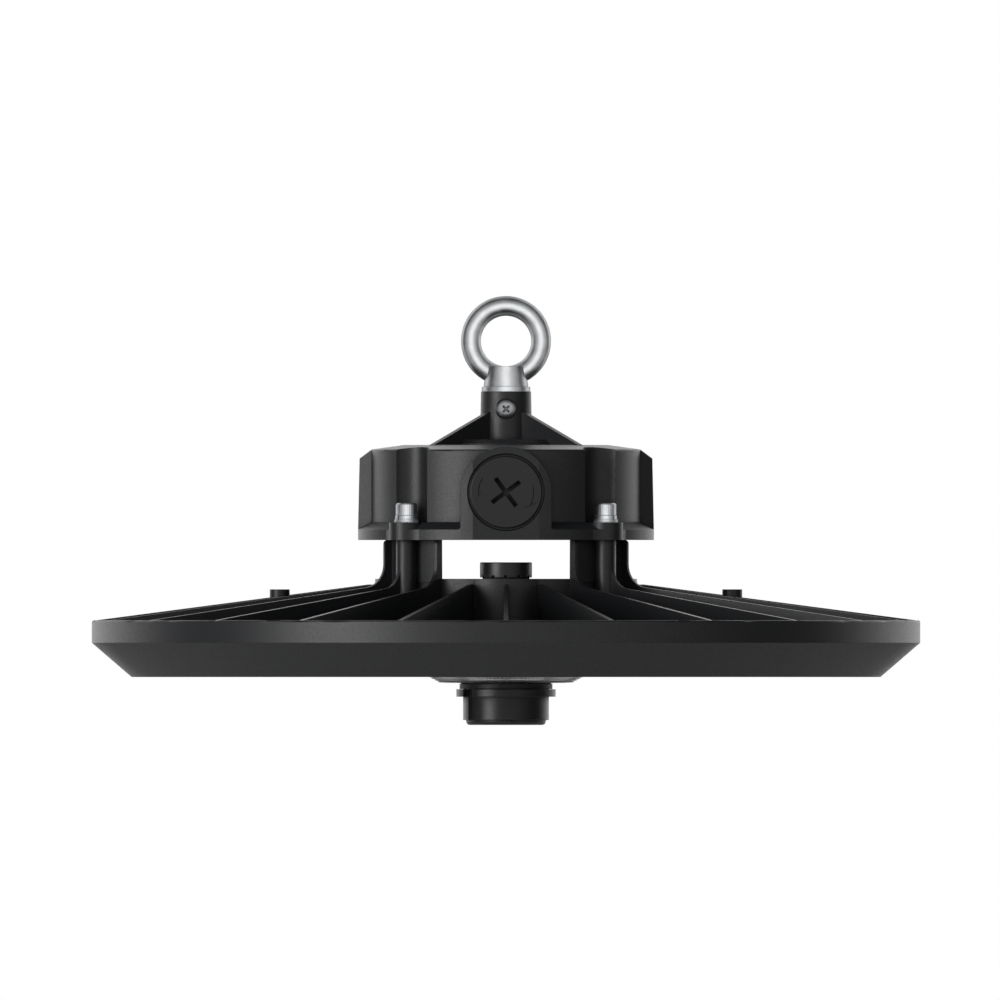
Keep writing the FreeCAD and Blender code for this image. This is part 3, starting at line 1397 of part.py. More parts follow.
def make_gland():
    washer = turned_piece("gland_washer", ring_outline(
        "gland_thread_radius + running_clearance", "gland_washer_radius", "pad_flat_offset",
        "gland_seat_offset"))
    place(washer, "0", "0", "plug_level", UPRIGHT_TO_BACK)

    body = new_body("gland_body")
    profile = new_sketch(body, "XZ_Plane")
    barrel_top = "gland_barrel_offset + gland_barrel_length"
    outline(profile, [
        ("gland_bore_radius", "pad_flat_offset - gland_thread_length"),
        ("gland_thread_radius", "pad_flat_offset - gland_thread_length"),
        ("gland_thread_radius", "gland_barrel_offset"),
        ("gland_barrel_radius", "gland_barrel_offset"),
        ("gland_barrel_radius", barrel_top),
        ("gland_bore_radius", barrel_top),
    ])
    turn_round(body, profile)
    collar = new_sketch(body, "XY_Plane", ("0", "0", "gland_seat_offset"))
    hexagon(collar, "gland_flats")
    circle(collar, "0", "0", "gland_bore_radius + gland_collar_wall")
    push(body, collar, "gland_hex_height")
    place(body, "0", "0", "plug_level", UPRIGHT_TO_BACK)

    insert = turned_piece("gland_insert", ring_outline(
        "gland_insert_bore", "gland_bore_radius - thread_clearance",
        "gland_barrel_offset", "gland_barrel_offset + gland_nut_height - gland_dome_wall"))
    place(insert, "0", "0", "plug_level", UPRIGHT_TO_BACK)

    nut = new_body("gland_nut")
    profile = new_sketch(nut, "XZ_Plane")
    nut_foot = "gland_barrel_offset + loose_clearance"
    nut_top = f"{nut_foot} + gland_nut_height"
    shoulder = f"{nut_foot} + gland_nut_hex_height"
    outline(profile, [
        ("gland_barrel_radius + thread_clearance", nut_foot),
        ("gland_nut_radius", nut_foot),
        ("gland_nut_radius", shoulder),
        ("gland_barrel_radius", nut_top),
        ("gland_nut_mouth", nut_top),
        ("gland_nut_mouth", f"{nut_top} - 2"),
        ("gland_bore_radius", f"{nut_top} - 2"),
        ("gland_bore_radius", f"{shoulder} + gland_nut_recess"),
        ("gland_barrel_radius + thread_clearance", f"{shoulder} + gland_nut_recess"),
    ])
    turn_round(nut, profile)
    flats = new_sketch(nut, "XY_Plane", ("0", "0", nut_foot))
    hexagon(flats, "gland_nut_radius * 1.94")
    circle(flats, "0", "0", "gland_nut_radius * 2")
    push(nut, flats, "gland_nut_hex_height", "Pocket", backwards=True)
    place(nut, "0", "0", "plug_level", UPRIGHT_TO_BACK)

    locknut = new_body("gland_locknut")
    ring = new_sketch(locknut, "XY_Plane", ("0", "0", "plug_wall_inside - locknut_height"))
    hexagon(ring, "gland_flats")
    circle(ring, "0", "0", "gland_thread_radius + thread_clearance")
    push(locknut, ring, "locknut_height")
    place(locknut, "0", "0", "plug_level", UPRIGHT_TO_BACK)


# Eye bolt, the washer under it and the screw that keeps it from turning

def make_eye():
    turned_piece("eye_washer", ring_outline(
        "washer_hole_radius", "washer_radius", "stem_top_level", "eye_seat_level"))

    shank = new_body("eye_shank")
    profile = new_sketch(shank, "XZ_Plane")
    outline(profile, [
        ("0", "eye_seat_level - eye_shank_length"),
        ("stem_bore_radius", "eye_seat_level - eye_shank_length"),
        ("stem_bore_radius", "eye_seat_level"),
        ("eye_collar_radius", "eye_seat_level"),
        ("eye_collar_top_radius", "eye_seat_level + eye_collar_height"),
        ("0", "eye_seat_level + eye_collar_height"),
    ])
    turn_round(shank, profile)
    eye_hole = cylinder("eye_hole", "eye_ring_radius - eye_section_radius", "eye_ring_radius * 2")
    place(eye_hole, "0", "eye_ring_radius", "eye_level", UPRIGHT_TO_FRONT)
    neck = document.addObject("Part::Cut", "eye_neck")
    neck.Base = shank
    neck.Tool = eye_hole
    ring = document.addObject("Part::Torus", "eye_ring")
    ring.setExpression("Radius1", bound("eye_ring_radius"))
    ring.setExpression("Radius2", bound("eye_section_radius"))
    place(ring, up="eye_level", rotation=UPRIGHT_TO_FRONT)
    bolt = document.addObject("Part::Fuse", "eye_bolt")
    bolt.Base = neck
    bolt.Tool = ring

    screw = new_body("eye_lock_screw")
    profile = new_sketch(screw, "XZ_Plane")
    seat = "stem_top_radius - lock_seat_inset"
    outline(profile, [
        ("0", "stem_bore_radius + thread_clearance * 2"),
        ("lock_screw_radius", "stem_bore_radius + thread_clearance * 2"),
        ("lock_screw_radius", seat),
        ("lock_head_radius", seat),
        ("lock_head_radius", f"{seat} + lock_head_height / 2"),
        ("lock_head_radius - lock_head_height / 2", f"{seat} + lock_head_height",
         "lock_head_height / 2", "left"),
        ("0", f"{seat} + lock_head_height"),
    ])
    turn_round(screw, profile)
    recess = new_sketch(screw, "XY_Plane", ("0", "0", f"{seat} + lock_head_height"))
    cross(recess, "lock_cross_length", "lock_cross_width", DIAGONAL)
    push(screw, recess, "lock_cross_depth", "Pocket")
    place(screw, "0", "0", "lock_screw_level", UPRIGHT_TO_FRONT)


NODES = [
    "heat_sink", "lens_plate", "lens_gasket", "lens_screws", "led_board", "board_screws", "led_chips",
    "sensor_socket", "port_seal", "port_nut", "port_contacts", "sensor_cap", "driver_housing",
    "housing_base_plate", "housing_gasket", "base_plate_screws", "wire_sleeve", "corner_flat_washers",
    "corner_spring_washers", "corner_screws", "vent_seal", "vent_plug", "cover_plug",
    "cover_plug_seal", "selector_board", "selector_switch", "driver_board", "driver_standoffs",
    "power_transformer", "bulk_capacitors", "input_choke", "terminal_block", "gland_washer",
    "gland_body", "gland_insert", "gland_nut", "gland_locknut", "eye_washer", "eye_bolt",
    "eye_lock_screw",
]


def check_document():
    """Stops before anything is written if an object failed or a node has no sound shape."""
    document.recompute()
    for thing in document.Objects:
        if "Invalid" in thing.State or "Error" in thing.State:
            raise RuntimeError(f"{thing.Name} failed: {thing.State}")
    for name in NODES:
        shape = document.getObject(name).Shape
        if shape.isNull() or not shape.isValid() or not shape.Solids:
            raise RuntimeError(f"{name} has no valid solid")


def write_nodes():
    os.makedirs("parts", exist_ok=True)
    for name in NODES:
        document.getObject(name).Shape.exportStep(f"parts/{name}.step")


make_heat_sink()
make_lens_side()
make_sensor_port()
make_housing()
make_base_plate()
make_corner_fasteners()
make_vent()
make_cover_plug()
make_driver()
make_gland()
make_eye()
check_document()
write_nodes()
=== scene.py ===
import math

import bmesh
import bpy
from mathutils import Matrix, Vector


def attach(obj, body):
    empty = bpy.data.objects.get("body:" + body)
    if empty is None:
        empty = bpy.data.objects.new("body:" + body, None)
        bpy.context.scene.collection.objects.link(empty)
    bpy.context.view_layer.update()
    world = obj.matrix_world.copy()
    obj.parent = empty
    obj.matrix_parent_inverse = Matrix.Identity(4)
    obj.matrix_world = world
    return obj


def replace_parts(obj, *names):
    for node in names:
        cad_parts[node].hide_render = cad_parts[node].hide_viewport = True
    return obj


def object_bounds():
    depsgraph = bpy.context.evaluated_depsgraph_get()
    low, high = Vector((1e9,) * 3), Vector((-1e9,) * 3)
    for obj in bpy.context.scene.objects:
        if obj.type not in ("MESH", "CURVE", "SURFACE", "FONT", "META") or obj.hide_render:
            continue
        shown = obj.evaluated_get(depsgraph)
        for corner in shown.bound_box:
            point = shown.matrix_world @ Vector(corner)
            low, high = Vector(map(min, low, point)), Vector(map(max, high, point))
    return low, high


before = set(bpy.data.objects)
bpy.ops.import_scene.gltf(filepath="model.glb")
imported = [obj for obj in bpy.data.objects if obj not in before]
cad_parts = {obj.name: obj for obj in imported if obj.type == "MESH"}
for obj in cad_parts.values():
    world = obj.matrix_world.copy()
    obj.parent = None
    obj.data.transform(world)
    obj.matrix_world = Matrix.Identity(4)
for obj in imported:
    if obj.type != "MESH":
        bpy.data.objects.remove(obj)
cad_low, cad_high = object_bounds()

# Camera. It looks level at the front of the light from far off, so that the discs and flanges show as
# straight lines. One pixel of the photograph is 0.4 mm, because the eye bolt's ring is 36 mm across.
PIXEL = 0.0004
PICTURE_WIDTH = 1000
AXIS_COLUMN = 506
UNDERSIDE_ROW = 725
CAMERA_DISTANCE = 1.5
camera_data = bpy.data.cameras.new("camera")
camera_data.type = "ORTHO"
camera_data.ortho_scale = PICTURE_WIDTH * PIXEL
camera = bpy.data.objects.new("camera", camera_data)
camera.location = (
    (PICTURE_WIDTH / 2 - AXIS_COLUMN) * PIXEL,
    -CAMERA_DISTANCE,
    (UNDERSIDE_ROW - PICTURE_WIDTH / 2) * PIXEL,
)
camera.rotation_euler = (math.radians(90), 0, 0)
bpy.context.scene.collection.objects.link(camera)
bpy.context.scene.camera = camera
bpy.context.scene.view_settings.view_transform = "Standard"


# Studio. A white paper backdrop stands behind the light and a pale floor lies under it, since the light
# hangs in the air. One large softbox stands to the front left, and the room is dark at its sides.
def add_node(tree, kind, inputs=None, **settings):
    """Adds a shader node with its settings, and fills or links the inputs that are named."""
    node = tree.nodes.new(kind)
    for name, setting in settings.items():
        setattr(node, name, setting)
    for name, given in (inputs or {}).items():
        if isinstance(given, bpy.types.NodeSocket):
            tree.links.new(given, node.inputs[name])
        else:
            node.inputs[name].default_value = given
    return node


def linear(colour):
    """The linear colour of an sRGB hex value such as #1b1c1e."""
    shares = [int(colour[start:start + 2], 16) / 255 for start in (1, 3, 5)]
    return [c / 12.92 if c <= 0.04045 else ((c + 0.055) / 1.055) ** 2.4 for c in shares] + [1.0]


BACKDROP_LIGHT = 1.5
FRONT_LIGHT = 0.66
SIDE_LIGHT = 0.02
CEILING_LIGHT = 0.03
world = bpy.data.worlds.new("studio")
bpy.context.scene.world = world
world.use_nodes = True
world.node_tree.nodes.clear()
studio = world.node_tree
ways = add_node(studio, "ShaderNodeSeparateXYZ", {
    "Vector": add_node(studio, "ShaderNodeTexCoord").outputs["Generated"],
})
front = add_node(studio, "ShaderNodeMapRange", {
    "Value": ways.outputs["Y"], "From Min": -1.0, "From Max": -0.25,
    "To Min": FRONT_LIGHT, "To Max": SIDE_LIGHT,
}, interpolation_type="SMOOTHSTEP")
backdrop = add_node(studio, "ShaderNodeMapRange", {
    "Value": ways.outputs["Y"], "From Min": 0.15, "From Max": 0.85,
    "To Min": 0.0, "To Max": BACKDROP_LIGHT,
}, interpolation_type="SMOOTHSTEP")
height = add_node(studio, "ShaderNodeMapRange", {
    "Value": ways.outputs["Z"], "From Min": 0.45, "From Max": 0.95, "To Min": 1.0, "To Max": 0.0,
}, interpolation_type="SMOOTHSTEP")
walls = add_node(studio, "ShaderNodeMath", {
    0: front.outputs["Result"], 1: backdrop.outputs["Result"],
}, operation="ADD")
room = add_node(studio, "ShaderNodeMath", {
    0: walls.outputs[0], 1: height.outputs["Result"], 2: CEILING_LIGHT,
}, operation="MULTIPLY_ADD")
room_light = add_node(studio, "ShaderNodeBackground", {"Color": room.outputs[0]})
paper = add_node(studio, "ShaderNodeBackground", {"Color": linear("#ffffff")})
seen = add_node(studio, "ShaderNodeMixShader", {
    0: add_node(studio, "ShaderNodeLightPath").outputs["Is Camera Ray"],
    1: room_light.outputs[0],
    2: paper.outputs[0],
})
add_node(studio, "ShaderNodeOutputWorld", {"Surface": seen.outputs[0]})


def softbox(name, width, height, place, power, seen_in_gloss=True):
    """An area light that faces the middle of the light fitting."""
    data = bpy.data.lights.new(name, "AREA")
    data.shape = "RECTANGLE"
    data.size = width
    data.size_y = height
    data.energy = power
    lamp = bpy.data.objects.new(name, data)
    lamp.location = place
    towards = (cad_low + cad_high) / 2 - lamp.location
    lamp.rotation_mode = "QUATERNION"
    lamp.rotation_quaternion = towards.to_track_quat("-Z", "Y")
    lamp.visible_glossy = seen_in_gloss
    lamp.visible_camera = False
    bpy.context.scene.collection.objects.link(lamp)
    return lamp


KEY_PLACE = (-1.46, -1.36, 0.35)
CEILING_PLACE = (0.0, 0.0, 2.6)
key = softbox("key_softbox", width=0.9, height=1.6, place=KEY_PLACE, power=23)
softbox("ceiling_softbox", width=2.4, height=2.4, place=CEILING_PLACE, power=17, seen_in_gloss=False)


def show(material, shader):
    """Makes a shader the material's surface."""
    add_node(material.node_tree, "ShaderNodeOutputMaterial", {"Surface": shader.outputs[0]})
    return material


def new_material(name):
    """A node material with nothing in it yet."""
    material = bpy.data.materials.new(name)
    material.use_nodes = True
    material.node_tree.nodes.clear()
    return material


FLOOR_DROP = 1.3
FLOOR_HALF = 8.0
floor_mesh = bpy.data.meshes.new("floor")
floor_mesh.from_pydata(
    [(x * FLOOR_HALF, y * FLOOR_HALF, -FLOOR_DROP) for x, y in ((-1, -1), (1, -1), (1, 1), (-1, 1))],
    [], [(0, 1, 2, 3)])
floor = bpy.data.objects.new("floor", floor_mesh)
bpy.context.scene.collection.objects.link(floor)
floor_paint = new_material("pale matt studio floor")
floor_mesh.materials.append(show(floor_paint, add_node(floor_paint.node_tree, "ShaderNodeBsdfPrincipled", {
    "Base Color": linear("#dadad8"), "Roughness": 0.9,
})))


# Heat sink. One die casting in aluminium: a floor, a rim, a hub and 24 tapered fins, with four corner
# towers that carry the driver housing. It is blasted and powder coated in black.
HOLLOW_REACH = 0.003
HOLLOW_ROUGHNESS = 0.9


def grained(name, dark, light, roughness, grain, relief, edge, **settings):
    """A material whose colour and gloss follow a fine grain. Edges are round, and hollows are duller."""
    material = new_material(name)
    tree = material.node_tree
    lumps = add_node(tree, "ShaderNodeTexNoise", {
        "Vector": add_node(tree, "ShaderNodeTexCoord").outputs["Object"],
        "Scale": 1 / grain, "Detail": 3.0, "Roughness": 0.55,
    })
    share = add_node(tree, "ShaderNodeMapRange", {
        "Value": lumps.outputs["Fac"], "From Min": 0.3, "From Max": 0.7,
    })
    colour = add_node(tree, "ShaderNodeMix", {
        "Factor": share.outputs["Result"], "A": linear(dark), "B": linear(light),
    }, data_type="RGBA")
    gloss = add_node(tree, "ShaderNodeMapRange", {
        "Value": lumps.outputs["Fac"], "From Min": 0.3, "From Max": 0.7,
        "To Min": roughness[0], "To Max": roughness[1],
    })
    openness = add_node(tree, "ShaderNodeAmbientOcclusion", {"Distance": HOLLOW_REACH}, samples=4)
    dulled = add_node(tree, "ShaderNodeMapRange", {
        "Value": openness.outputs["AO"], "From Min": 0.35, "From Max": 0.8,
        "To Min": HOLLOW_ROUGHNESS, "To Max": gloss.outputs["Result"],
    })
    edges = add_node(tree, "ShaderNodeBevel", {"Radius": edge}, samples=6)
    surface = add_node(tree, "ShaderNodeBump", {
        "Height": lumps.outputs["Fac"], "Normal": edges.outputs[0], "Distance": relief,
    })
    inputs = {
        "Base Color": colour.outputs["Result"],
        "Roughness": dulled.outputs["Result"],
        "Normal": surface.outputs[0],
    }
    inputs.update(settings)
    return show(material, add_node(tree, "ShaderNodeBsdfPrincipled", inputs))


def dress(material, *nodes):
    """Gives CAD nodes a material."""
    for node in nodes:
        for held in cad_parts[node].material_slots:
            held.material = material


# Polyester powder, sprayed and baked: near black and neutral, satin, with a fine orange peel that
# breaks up the softbox. Its real lumps of 0.3 mm are under a pixel, so they are drawn at 0.8 mm.
powder_coat = grained(
    "baked black powder coat", "#141517", "#202124", (0.46, 0.38), grain=0.0008, relief=0.00003,
    edge=0.0002, IOR=1.5)
dress(powder_coat, "heat_sink")


# LED board. An aluminium-backed board under white solder mask, held to the casting's floor by six pan
# head screws. Each of the 120 LEDs is a white ceramic body with a yellow phosphor window.

# Solder mask is printed lacquer: an even white with a soft gloss and slow waves.
white_mask = grained(
    "white solder mask", "#e9eae6", "#f4f4f0", (0.36, 0.30), grain=0.004, relief=0.000004,
    edge=0.0001, IOR=1.5)
# The ceramic is pressed and fired: a chalky white that shows no highlight.
white_ceramic = grained(
    "pressed white ceramic", "#eeeeea", "#f6f6f3", (0.55, 0.50), grain=0.0008, relief=0.000004,
    edge=0.00008, IOR=1.6)
dress(white_mask, "led_board")
dress(white_ceramic, "led_chips")


def piece_from(name, body, material, built, crease=30):
    """A mesh piece of the scene that rides on one of the part's bodies."""
    bmesh.ops.recalc_face_normals(built, faces=built.faces)
    mesh = bpy.data.meshes.new(name)
    built.to_mesh(mesh)
    built.free()
    mesh.shade_smooth()
    mesh.set_sharp_from_angle(angle=math.radians(crease))
    mesh.materials.append(material)
    piece = bpy.data.objects.new(name, mesh)
    bpy.context.scene.collection.objects.link(piece)
    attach(piece, body)
    return piece


STEPS_PER_TOOTH = 4


def ring_points(built, radius, up, steps, tooth=0.0):
    """A ring of points about the Z axis. Teeth, if any, sink every second pair of points."""
    points = []
    for step in range(steps):
        turn = 2 * math.pi * step / steps
        sunk = step % STEPS_PER_TOOTH >= STEPS_PER_TOOTH / 2
        reach = radius - tooth * sunk
        points.append(built.verts.new((reach * math.cos(turn), reach * math.sin(turn), up)))
    return points


def bridge(built, first, second):
    """Faces between two rings of as many points."""
    for step, point in enumerate(first):
        after = (step + 1) % len(first)
        built.faces.new((point, first[after], second[after], second[step]))


# Silicone filled with yellow phosphor, poured into the ceramic body: glossy and a little see-through.
phosphor = new_material("poured yellow phosphor silicone")
show(phosphor, add_node(phosphor.node_tree, "ShaderNodeBsdfPrincipled", {
    "Base Color": linear("#efb92c"), "Roughness": 0.28, "IOR": 1.41,
    "Subsurface Weight": 0.2, "Subsurface Radius": (0.0008, 0.0006, 0.0002),
}))
CHIP_RINGS = [0.050, 0.069, 0.088, 0.107, 0.126]
CHIPS_PER_RING = 24
CHIP_FACE = 0.02458
WINDOW_RADIUS = 0.00125
WINDOW_FACE_RADIUS = 0.001125
WINDOW_RISE = 0.00006
WINDOW_STEPS = 14
windows = bmesh.new()
for circle_radius in CHIP_RINGS:
    for chip in range(CHIPS_PER_RING):
        turn = 2 * math.pi * chip / CHIPS_PER_RING
        foot = ring_points(windows, WINDOW_RADIUS, 0.0, WINDOW_STEPS)
        face = ring_points(windows, WINDOW_FACE_RADIUS, -WINDOW_RISE, WINDOW_STEPS)
        bridge(windows, foot, face)
        windows.faces.new(face)
        windows.faces.new(foot)
        middle = (circle_radius * math.cos(turn), circle_radius * math.sin(turn), CHIP_FACE)
        bmesh.ops.translate(windows, verts=foot + face, vec=middle)
piece_from("phosphor_windows", "fixture", phosphor, windows)


# Screws are cold-headed steel, zinc plated: bright, slightly blue grey and faintly mottled, with soft
# drawn-out highlights. A dark tint at low angles keeps their outline on the white paper.
OUTLINE_TINT = {"Specular Tint": linear("#565656")}
zinc_plate = grained(
    "bright zinc plated steel", "#b9bcbf", "#cfd1d3", (0.32, 0.38), grain=0.0025, relief=0.000006,
    edge=0.00015, Metallic=1.0, **OUTLINE_TINT)
dress(zinc_plate, "board_screws")


# Lens plate. Clear polycarbonate, injection moulded with a low dome over each LED and rows of beads on
# its middle dish. It sits on a white silicone gasket and twelve countersunk screws hold it.

# Polished moulding: colourless with a soft shine, and the beads turn what is behind it into dots.
clear_plastic = new_material("clear moulded polycarbonate")
show(clear_plastic, add_node(clear_plastic.node_tree, "ShaderNodeBsdfPrincipled", {
    "Base Color": linear("#f4f6f7"), "Roughness": 0.1, "IOR": 1.585, "Transmission Weight": 1.0,
}))
LENS_STEPS = 720
LENS_UNDERSIDE = 0.02058
LENS_TOP = 0.02298
LENS_RADIUS = 0.1461
LENS_HOLE = 0.0140
DISH_FACE_RADIUS = 0.0262
DISH_FACE = 0.01698
DISH_EDGE_RADIUS = 0.03324
DISH_WALL = 0.0016
DOME_RADIUS = 0.0045
DOME_HEIGHT = 0.0009
DOME_ROWS = 10
BEADS_AROUND = 120
BEAD_PITCH = 0.0015
BEAD_HEIGHT = 0.0002
BEAD_ROWS = 6
BEAD_FLAT_START = 0.0192
LENS_CREASE = 25


def lens_row(built, radius, up, bulge=None):
    """One ring of the lens plate. The bulge gives how far each point drops and spreads."""
    points = []
    for step in range(LENS_STEPS):
        turn = 2 * math.pi * step / LENS_STEPS
        drop, spread = bulge(turn) if bulge else (0.0, 0.0)
        reach = radius + spread
        points.append(built.verts.new((reach * math.cos(turn), reach * math.sin(turn), up - drop)))
    return points


def dome_bulge(offset, circle_radius):
    """How a ring passes over the domes, at an offset from the circle of their middles."""
    def bulge(turn):
        pitch = 2 * math.pi / CHIPS_PER_RING
        across = circle_radius * ((turn + pitch / 2) % pitch - pitch / 2)
        share = 1 - (offset ** 2 + across ** 2) / DOME_RADIUS ** 2
        return DOME_HEIGHT * max(share, 0.0), 0.0
    return bulge


def bead_bulge(row, radius, slope):
    """How a ring passes over the rows of beads, which stand out square to the dish's surface."""
    def bulge(turn):
        pitch = 2 * math.pi / BEADS_AROUND
        line, place = divmod(row, BEAD_ROWS)
        shift = pitch / 2 * (line % 2)
        across = ((turn + shift + pitch / 2) % pitch - pitch / 2) * radius / BEAD_PITCH * 2
        along = (place / BEAD_ROWS - 0.5) * 2
        height = BEAD_HEIGHT * max(1 - across ** 2 - along ** 2, 0.0) ** 0.5
        return height * math.cos(slope), height * math.sin(slope)
    return bulge


lens = bmesh.new()
dish_slope = math.atan2(LENS_UNDERSIDE - DISH_FACE, DISH_EDGE_RADIUS - DISH_FACE_RADIUS)
slope_length = math.hypot(LENS_UNDERSIDE - DISH_FACE, DISH_EDGE_RADIUS - DISH_FACE_RADIUS)
lens_rows = [lens_row(lens, LENS_HOLE, DISH_FACE)]
flat_lines = int((DISH_FACE_RADIUS - BEAD_FLAT_START) / BEAD_PITCH)
for row in range(flat_lines * BEAD_ROWS):
    radius = BEAD_FLAT_START + row * BEAD_PITCH / BEAD_ROWS
    lens_rows.append(lens_row(lens, radius, DISH_FACE, bead_bulge(row, radius, 0.0)))
lens_rows.append(lens_row(lens, DISH_FACE_RADIUS, DISH_FACE))
slope_lines = int(slope_length / BEAD_PITCH)
for row in range(1, slope_lines * BEAD_ROWS):
    along = row * BEAD_PITCH / BEAD_ROWS
    radius = DISH_FACE_RADIUS + along * math.cos(dish_slope)
    up = DISH_FACE + along * math.sin(dish_slope)
    lens_rows.append(lens_row(lens, radius, up, bead_bulge(row, radius, dish_slope)))
lens_rows.append(lens_row(lens, DISH_EDGE_RADIUS, LENS_UNDERSIDE))
# One flat ring on each side of the domes keeps the plate between them flat to the eye.
for circle_radius in CHIP_RINGS:
    for row in range(-1, DOME_ROWS + 2):
        offset = (row / DOME_ROWS * 2 - 1) * DOME_RADIUS
        lens_rows.append(lens_row(lens, circle_radius + offset, LENS_UNDERSIDE,
                                  dome_bulge(offset, circle_radius)))
for radius, up in (
        (LENS_RADIUS, LENS_UNDERSIDE),
        (LENS_RADIUS, LENS_TOP),
        (DISH_EDGE_RADIUS + DISH_WALL / 2, LENS_TOP),
        (DISH_FACE_RADIUS, DISH_FACE + DISH_WALL),
        (LENS_HOLE, DISH_FACE + DISH_WALL)):
    lens_rows.append(lens_row(lens, radius, up))
for lower, upper in zip(lens_rows, lens_rows[1:] + lens_rows[:1]):
    bridge(lens, lower, upper)
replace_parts(piece_from("moulded_lens_plate", "fixture", clear_plastic, lens, LENS_CREASE), "lens_plate")

# Cast silicone rubber, white and matt, a little waxy where light gets into it.
silicone = grained(
    "moulded white silicone", "#d7d7d1", "#e3e3de", (0.64, 0.58), grain=0.003, relief=0.000006,
    edge=0.0002, IOR=1.41)
dress(silicone, "lens_gasket")


def add_screw(built, rows, steps, recess, depth, placement, taper=1.0):
    """A turned screw with a sunk recess in its head, from its tip up to the head's face, then placed."""
    rings = [ring_points(built, radius, up, steps, tooth) for radius, up, tooth in rows]
    for lower, upper in zip(rings, rings[1:]):
        bridge(built, lower, upper)
    built.faces.new(rings[0])
    face_height = rows[-1][1]
    mouth = [built.verts.new((x, y, face_height)) for x, y in recess]
    bottom = [built.verts.new((x * taper, y * taper, face_height - depth)) for x, y in recess]
    bridge(built, mouth, bottom)
    built.faces.new(bottom)
    edges = []
    for loop in (rings[-1], mouth):
        for number, point in enumerate(loop):
            edges.append(built.edges.get((point, loop[(number + 1) % len(loop)])))
    bmesh.ops.triangle_fill(built, edges=edges, use_beauty=True)
    points = [point for ring in rings for point in ring] + mouth + bottom
    bmesh.ops.transform(built, matrix=placement, verts=points)


def cross_outline(half_length, half_width):
    """The corners of a cross recess, in order."""
    quarter = [(half_length, -half_width), (half_length, half_width), (half_width, half_width)]
    corners = []
    for turn in range(4):
        spin = Matrix.Rotation(math.radians(90 * turn), 2)
        corners += [tuple(spin @ Vector(corner)) for corner in quarter]
    return corners


CROSS_TAPER = 0.5
LENS_SCREW_CIRCLE = 0.1422
LENS_SCREWS = 12
LENS_SCREW_STEPS = 24
LENS_CROSS = cross_outline(half_length=0.0014, half_width=0.0003)
LENS_CROSS_DEPTH = 0.0009
# Each row is a radius, a height and a depth of teeth, from the screw's tip up to its face.
LENS_SCREW_ROWS = (
    (0.00145, -0.0070, 0.0),
    (0.00145, -0.0016, 0.0),
    (0.00280, 0.0, 0.0),
    (0.00240, 0.0002, 0.0),
)
lens_screws = bmesh.new()
for screw in range(LENS_SCREWS):
    turn = 2 * math.pi * screw / LENS_SCREWS
    spot = Vector((LENS_SCREW_CIRCLE * math.cos(turn), LENS_SCREW_CIRCLE * math.sin(turn), LENS_UNDERSIDE))
    face_down = Matrix.Rotation(math.pi, 4, "X")
    add_screw(lens_screws, LENS_SCREW_ROWS, LENS_SCREW_STEPS, LENS_CROSS, LENS_CROSS_DEPTH,
              Matrix.Translation(spot) @ face_down, CROSS_TAPER)
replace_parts(piece_from("countersunk_lens_screws", "fixture", zinc_plate, lens_screws), "lens_screws")


# Sensor port. A nylon socket stands through the dish with a nut behind it and a rubber ring before it.
# A blind cap with a bayonet keeps it dry until a sensor takes its place.

# Glass-filled nylon, moulded with a fine spark finish: deep black, satin, with long soft highlights.
# The real finish has a grain of about 0.1 mm, under a pixel, so it is drawn at 0.7 mm.
black_nylon = grained(
    "moulded black nylon", "#0d0e0f", "#151617", (0.40, 0.32), grain=0.0007, relief=0.00001,
    edge=0.0004, IOR=1.53)
dress(black_nylon, "sensor_socket", "port_nut", "sensor_cap")
# EPDM rubber, moulded: dull and slightly brown beside the nylon.
black_rubber = grained(
    "moulded black EPDM rubber", "#131313", "#1a1918", (0.74, 0.66), grain=0.001, relief=0.00001,
    edge=0.0002, IOR=1.52)
dress(black_rubber, "port_seal")
# Turned contact pins, left bare: a warm dull gold.
brass = grained(
    "turned brass", "#b99a58", "#caab68", (0.28, 0.34), grain=0.0015, relief=0.000004, edge=0.0001,
    Metallic=1.0)
dress(brass, "port_contacts")

# A thin rubber ring lies on the cap's flange and closes the gap below the socket.
FLANGE_RING = ((0.0140, 0.01429), (0.0172, 0.01429), (0.0172, 0.014375), (0.0140, 0.014375))
FLANGE_RING_STEPS = 96
flange_ring = bmesh.new()
ring_loops = [
    ring_points(flange_ring, radius, up, FLANGE_RING_STEPS) for radius, up in FLANGE_RING
]
for lower, upper in zip(ring_loops, ring_loops[1:] + ring_loops[:1]):
    bridge(flange_ring, lower, upper)
piece_from("cap_flange_ring", "cap", black_rubber, flange_ring)

CAP_FOOT_RADIUS = 0.0160
NUB_RISE = 0.0004
NUB_ROOT = 0.001
NUB_LEVELS = (0.0006, 0.0019)
NUB_SPANS = ((-0.0016, 0.0021), (0.0028, 0.0037))
cap_nubs = bmesh.new()
for left, right in NUB_SPANS:
    corners = []
    for x in (left, right):
        front_face = -math.sqrt(CAP_FOOT_RADIUS ** 2 - x ** 2)
        for y in (front_face - NUB_RISE, front_face + NUB_ROOT):
            for z in NUB_LEVELS:
                corners.append(cap_nubs.verts.new((x, y, z)))
    bmesh.ops.convex_hull(cap_nubs, input=corners)
piece_from("cap_turning_marks", "cap", black_nylon, cap_nubs)


# Breather plug. A nylon cap with a membrane under it, screwed into the hub's top on a rubber ring, which
# lets the lamp breathe without taking in water.
dress(black_nylon, "vent_plug")
dress(black_rubber, "vent_seal")


# Driver. A glass-fibre board on steel standoffs with its transformer, two capacitors, choke and terminal
# block, and the selector board behind the cover plug. It shows only when the housing is open.

# The boards are woven glass fibre under lacquer: an even deep green with a soft gloss.
green_board = grained(
    "green solder mask on glass fibre", "#12502c", "#18603a", (0.38, 0.30), grain=0.003,
    relief=0.000006, edge=0.0001, IOR=1.5)
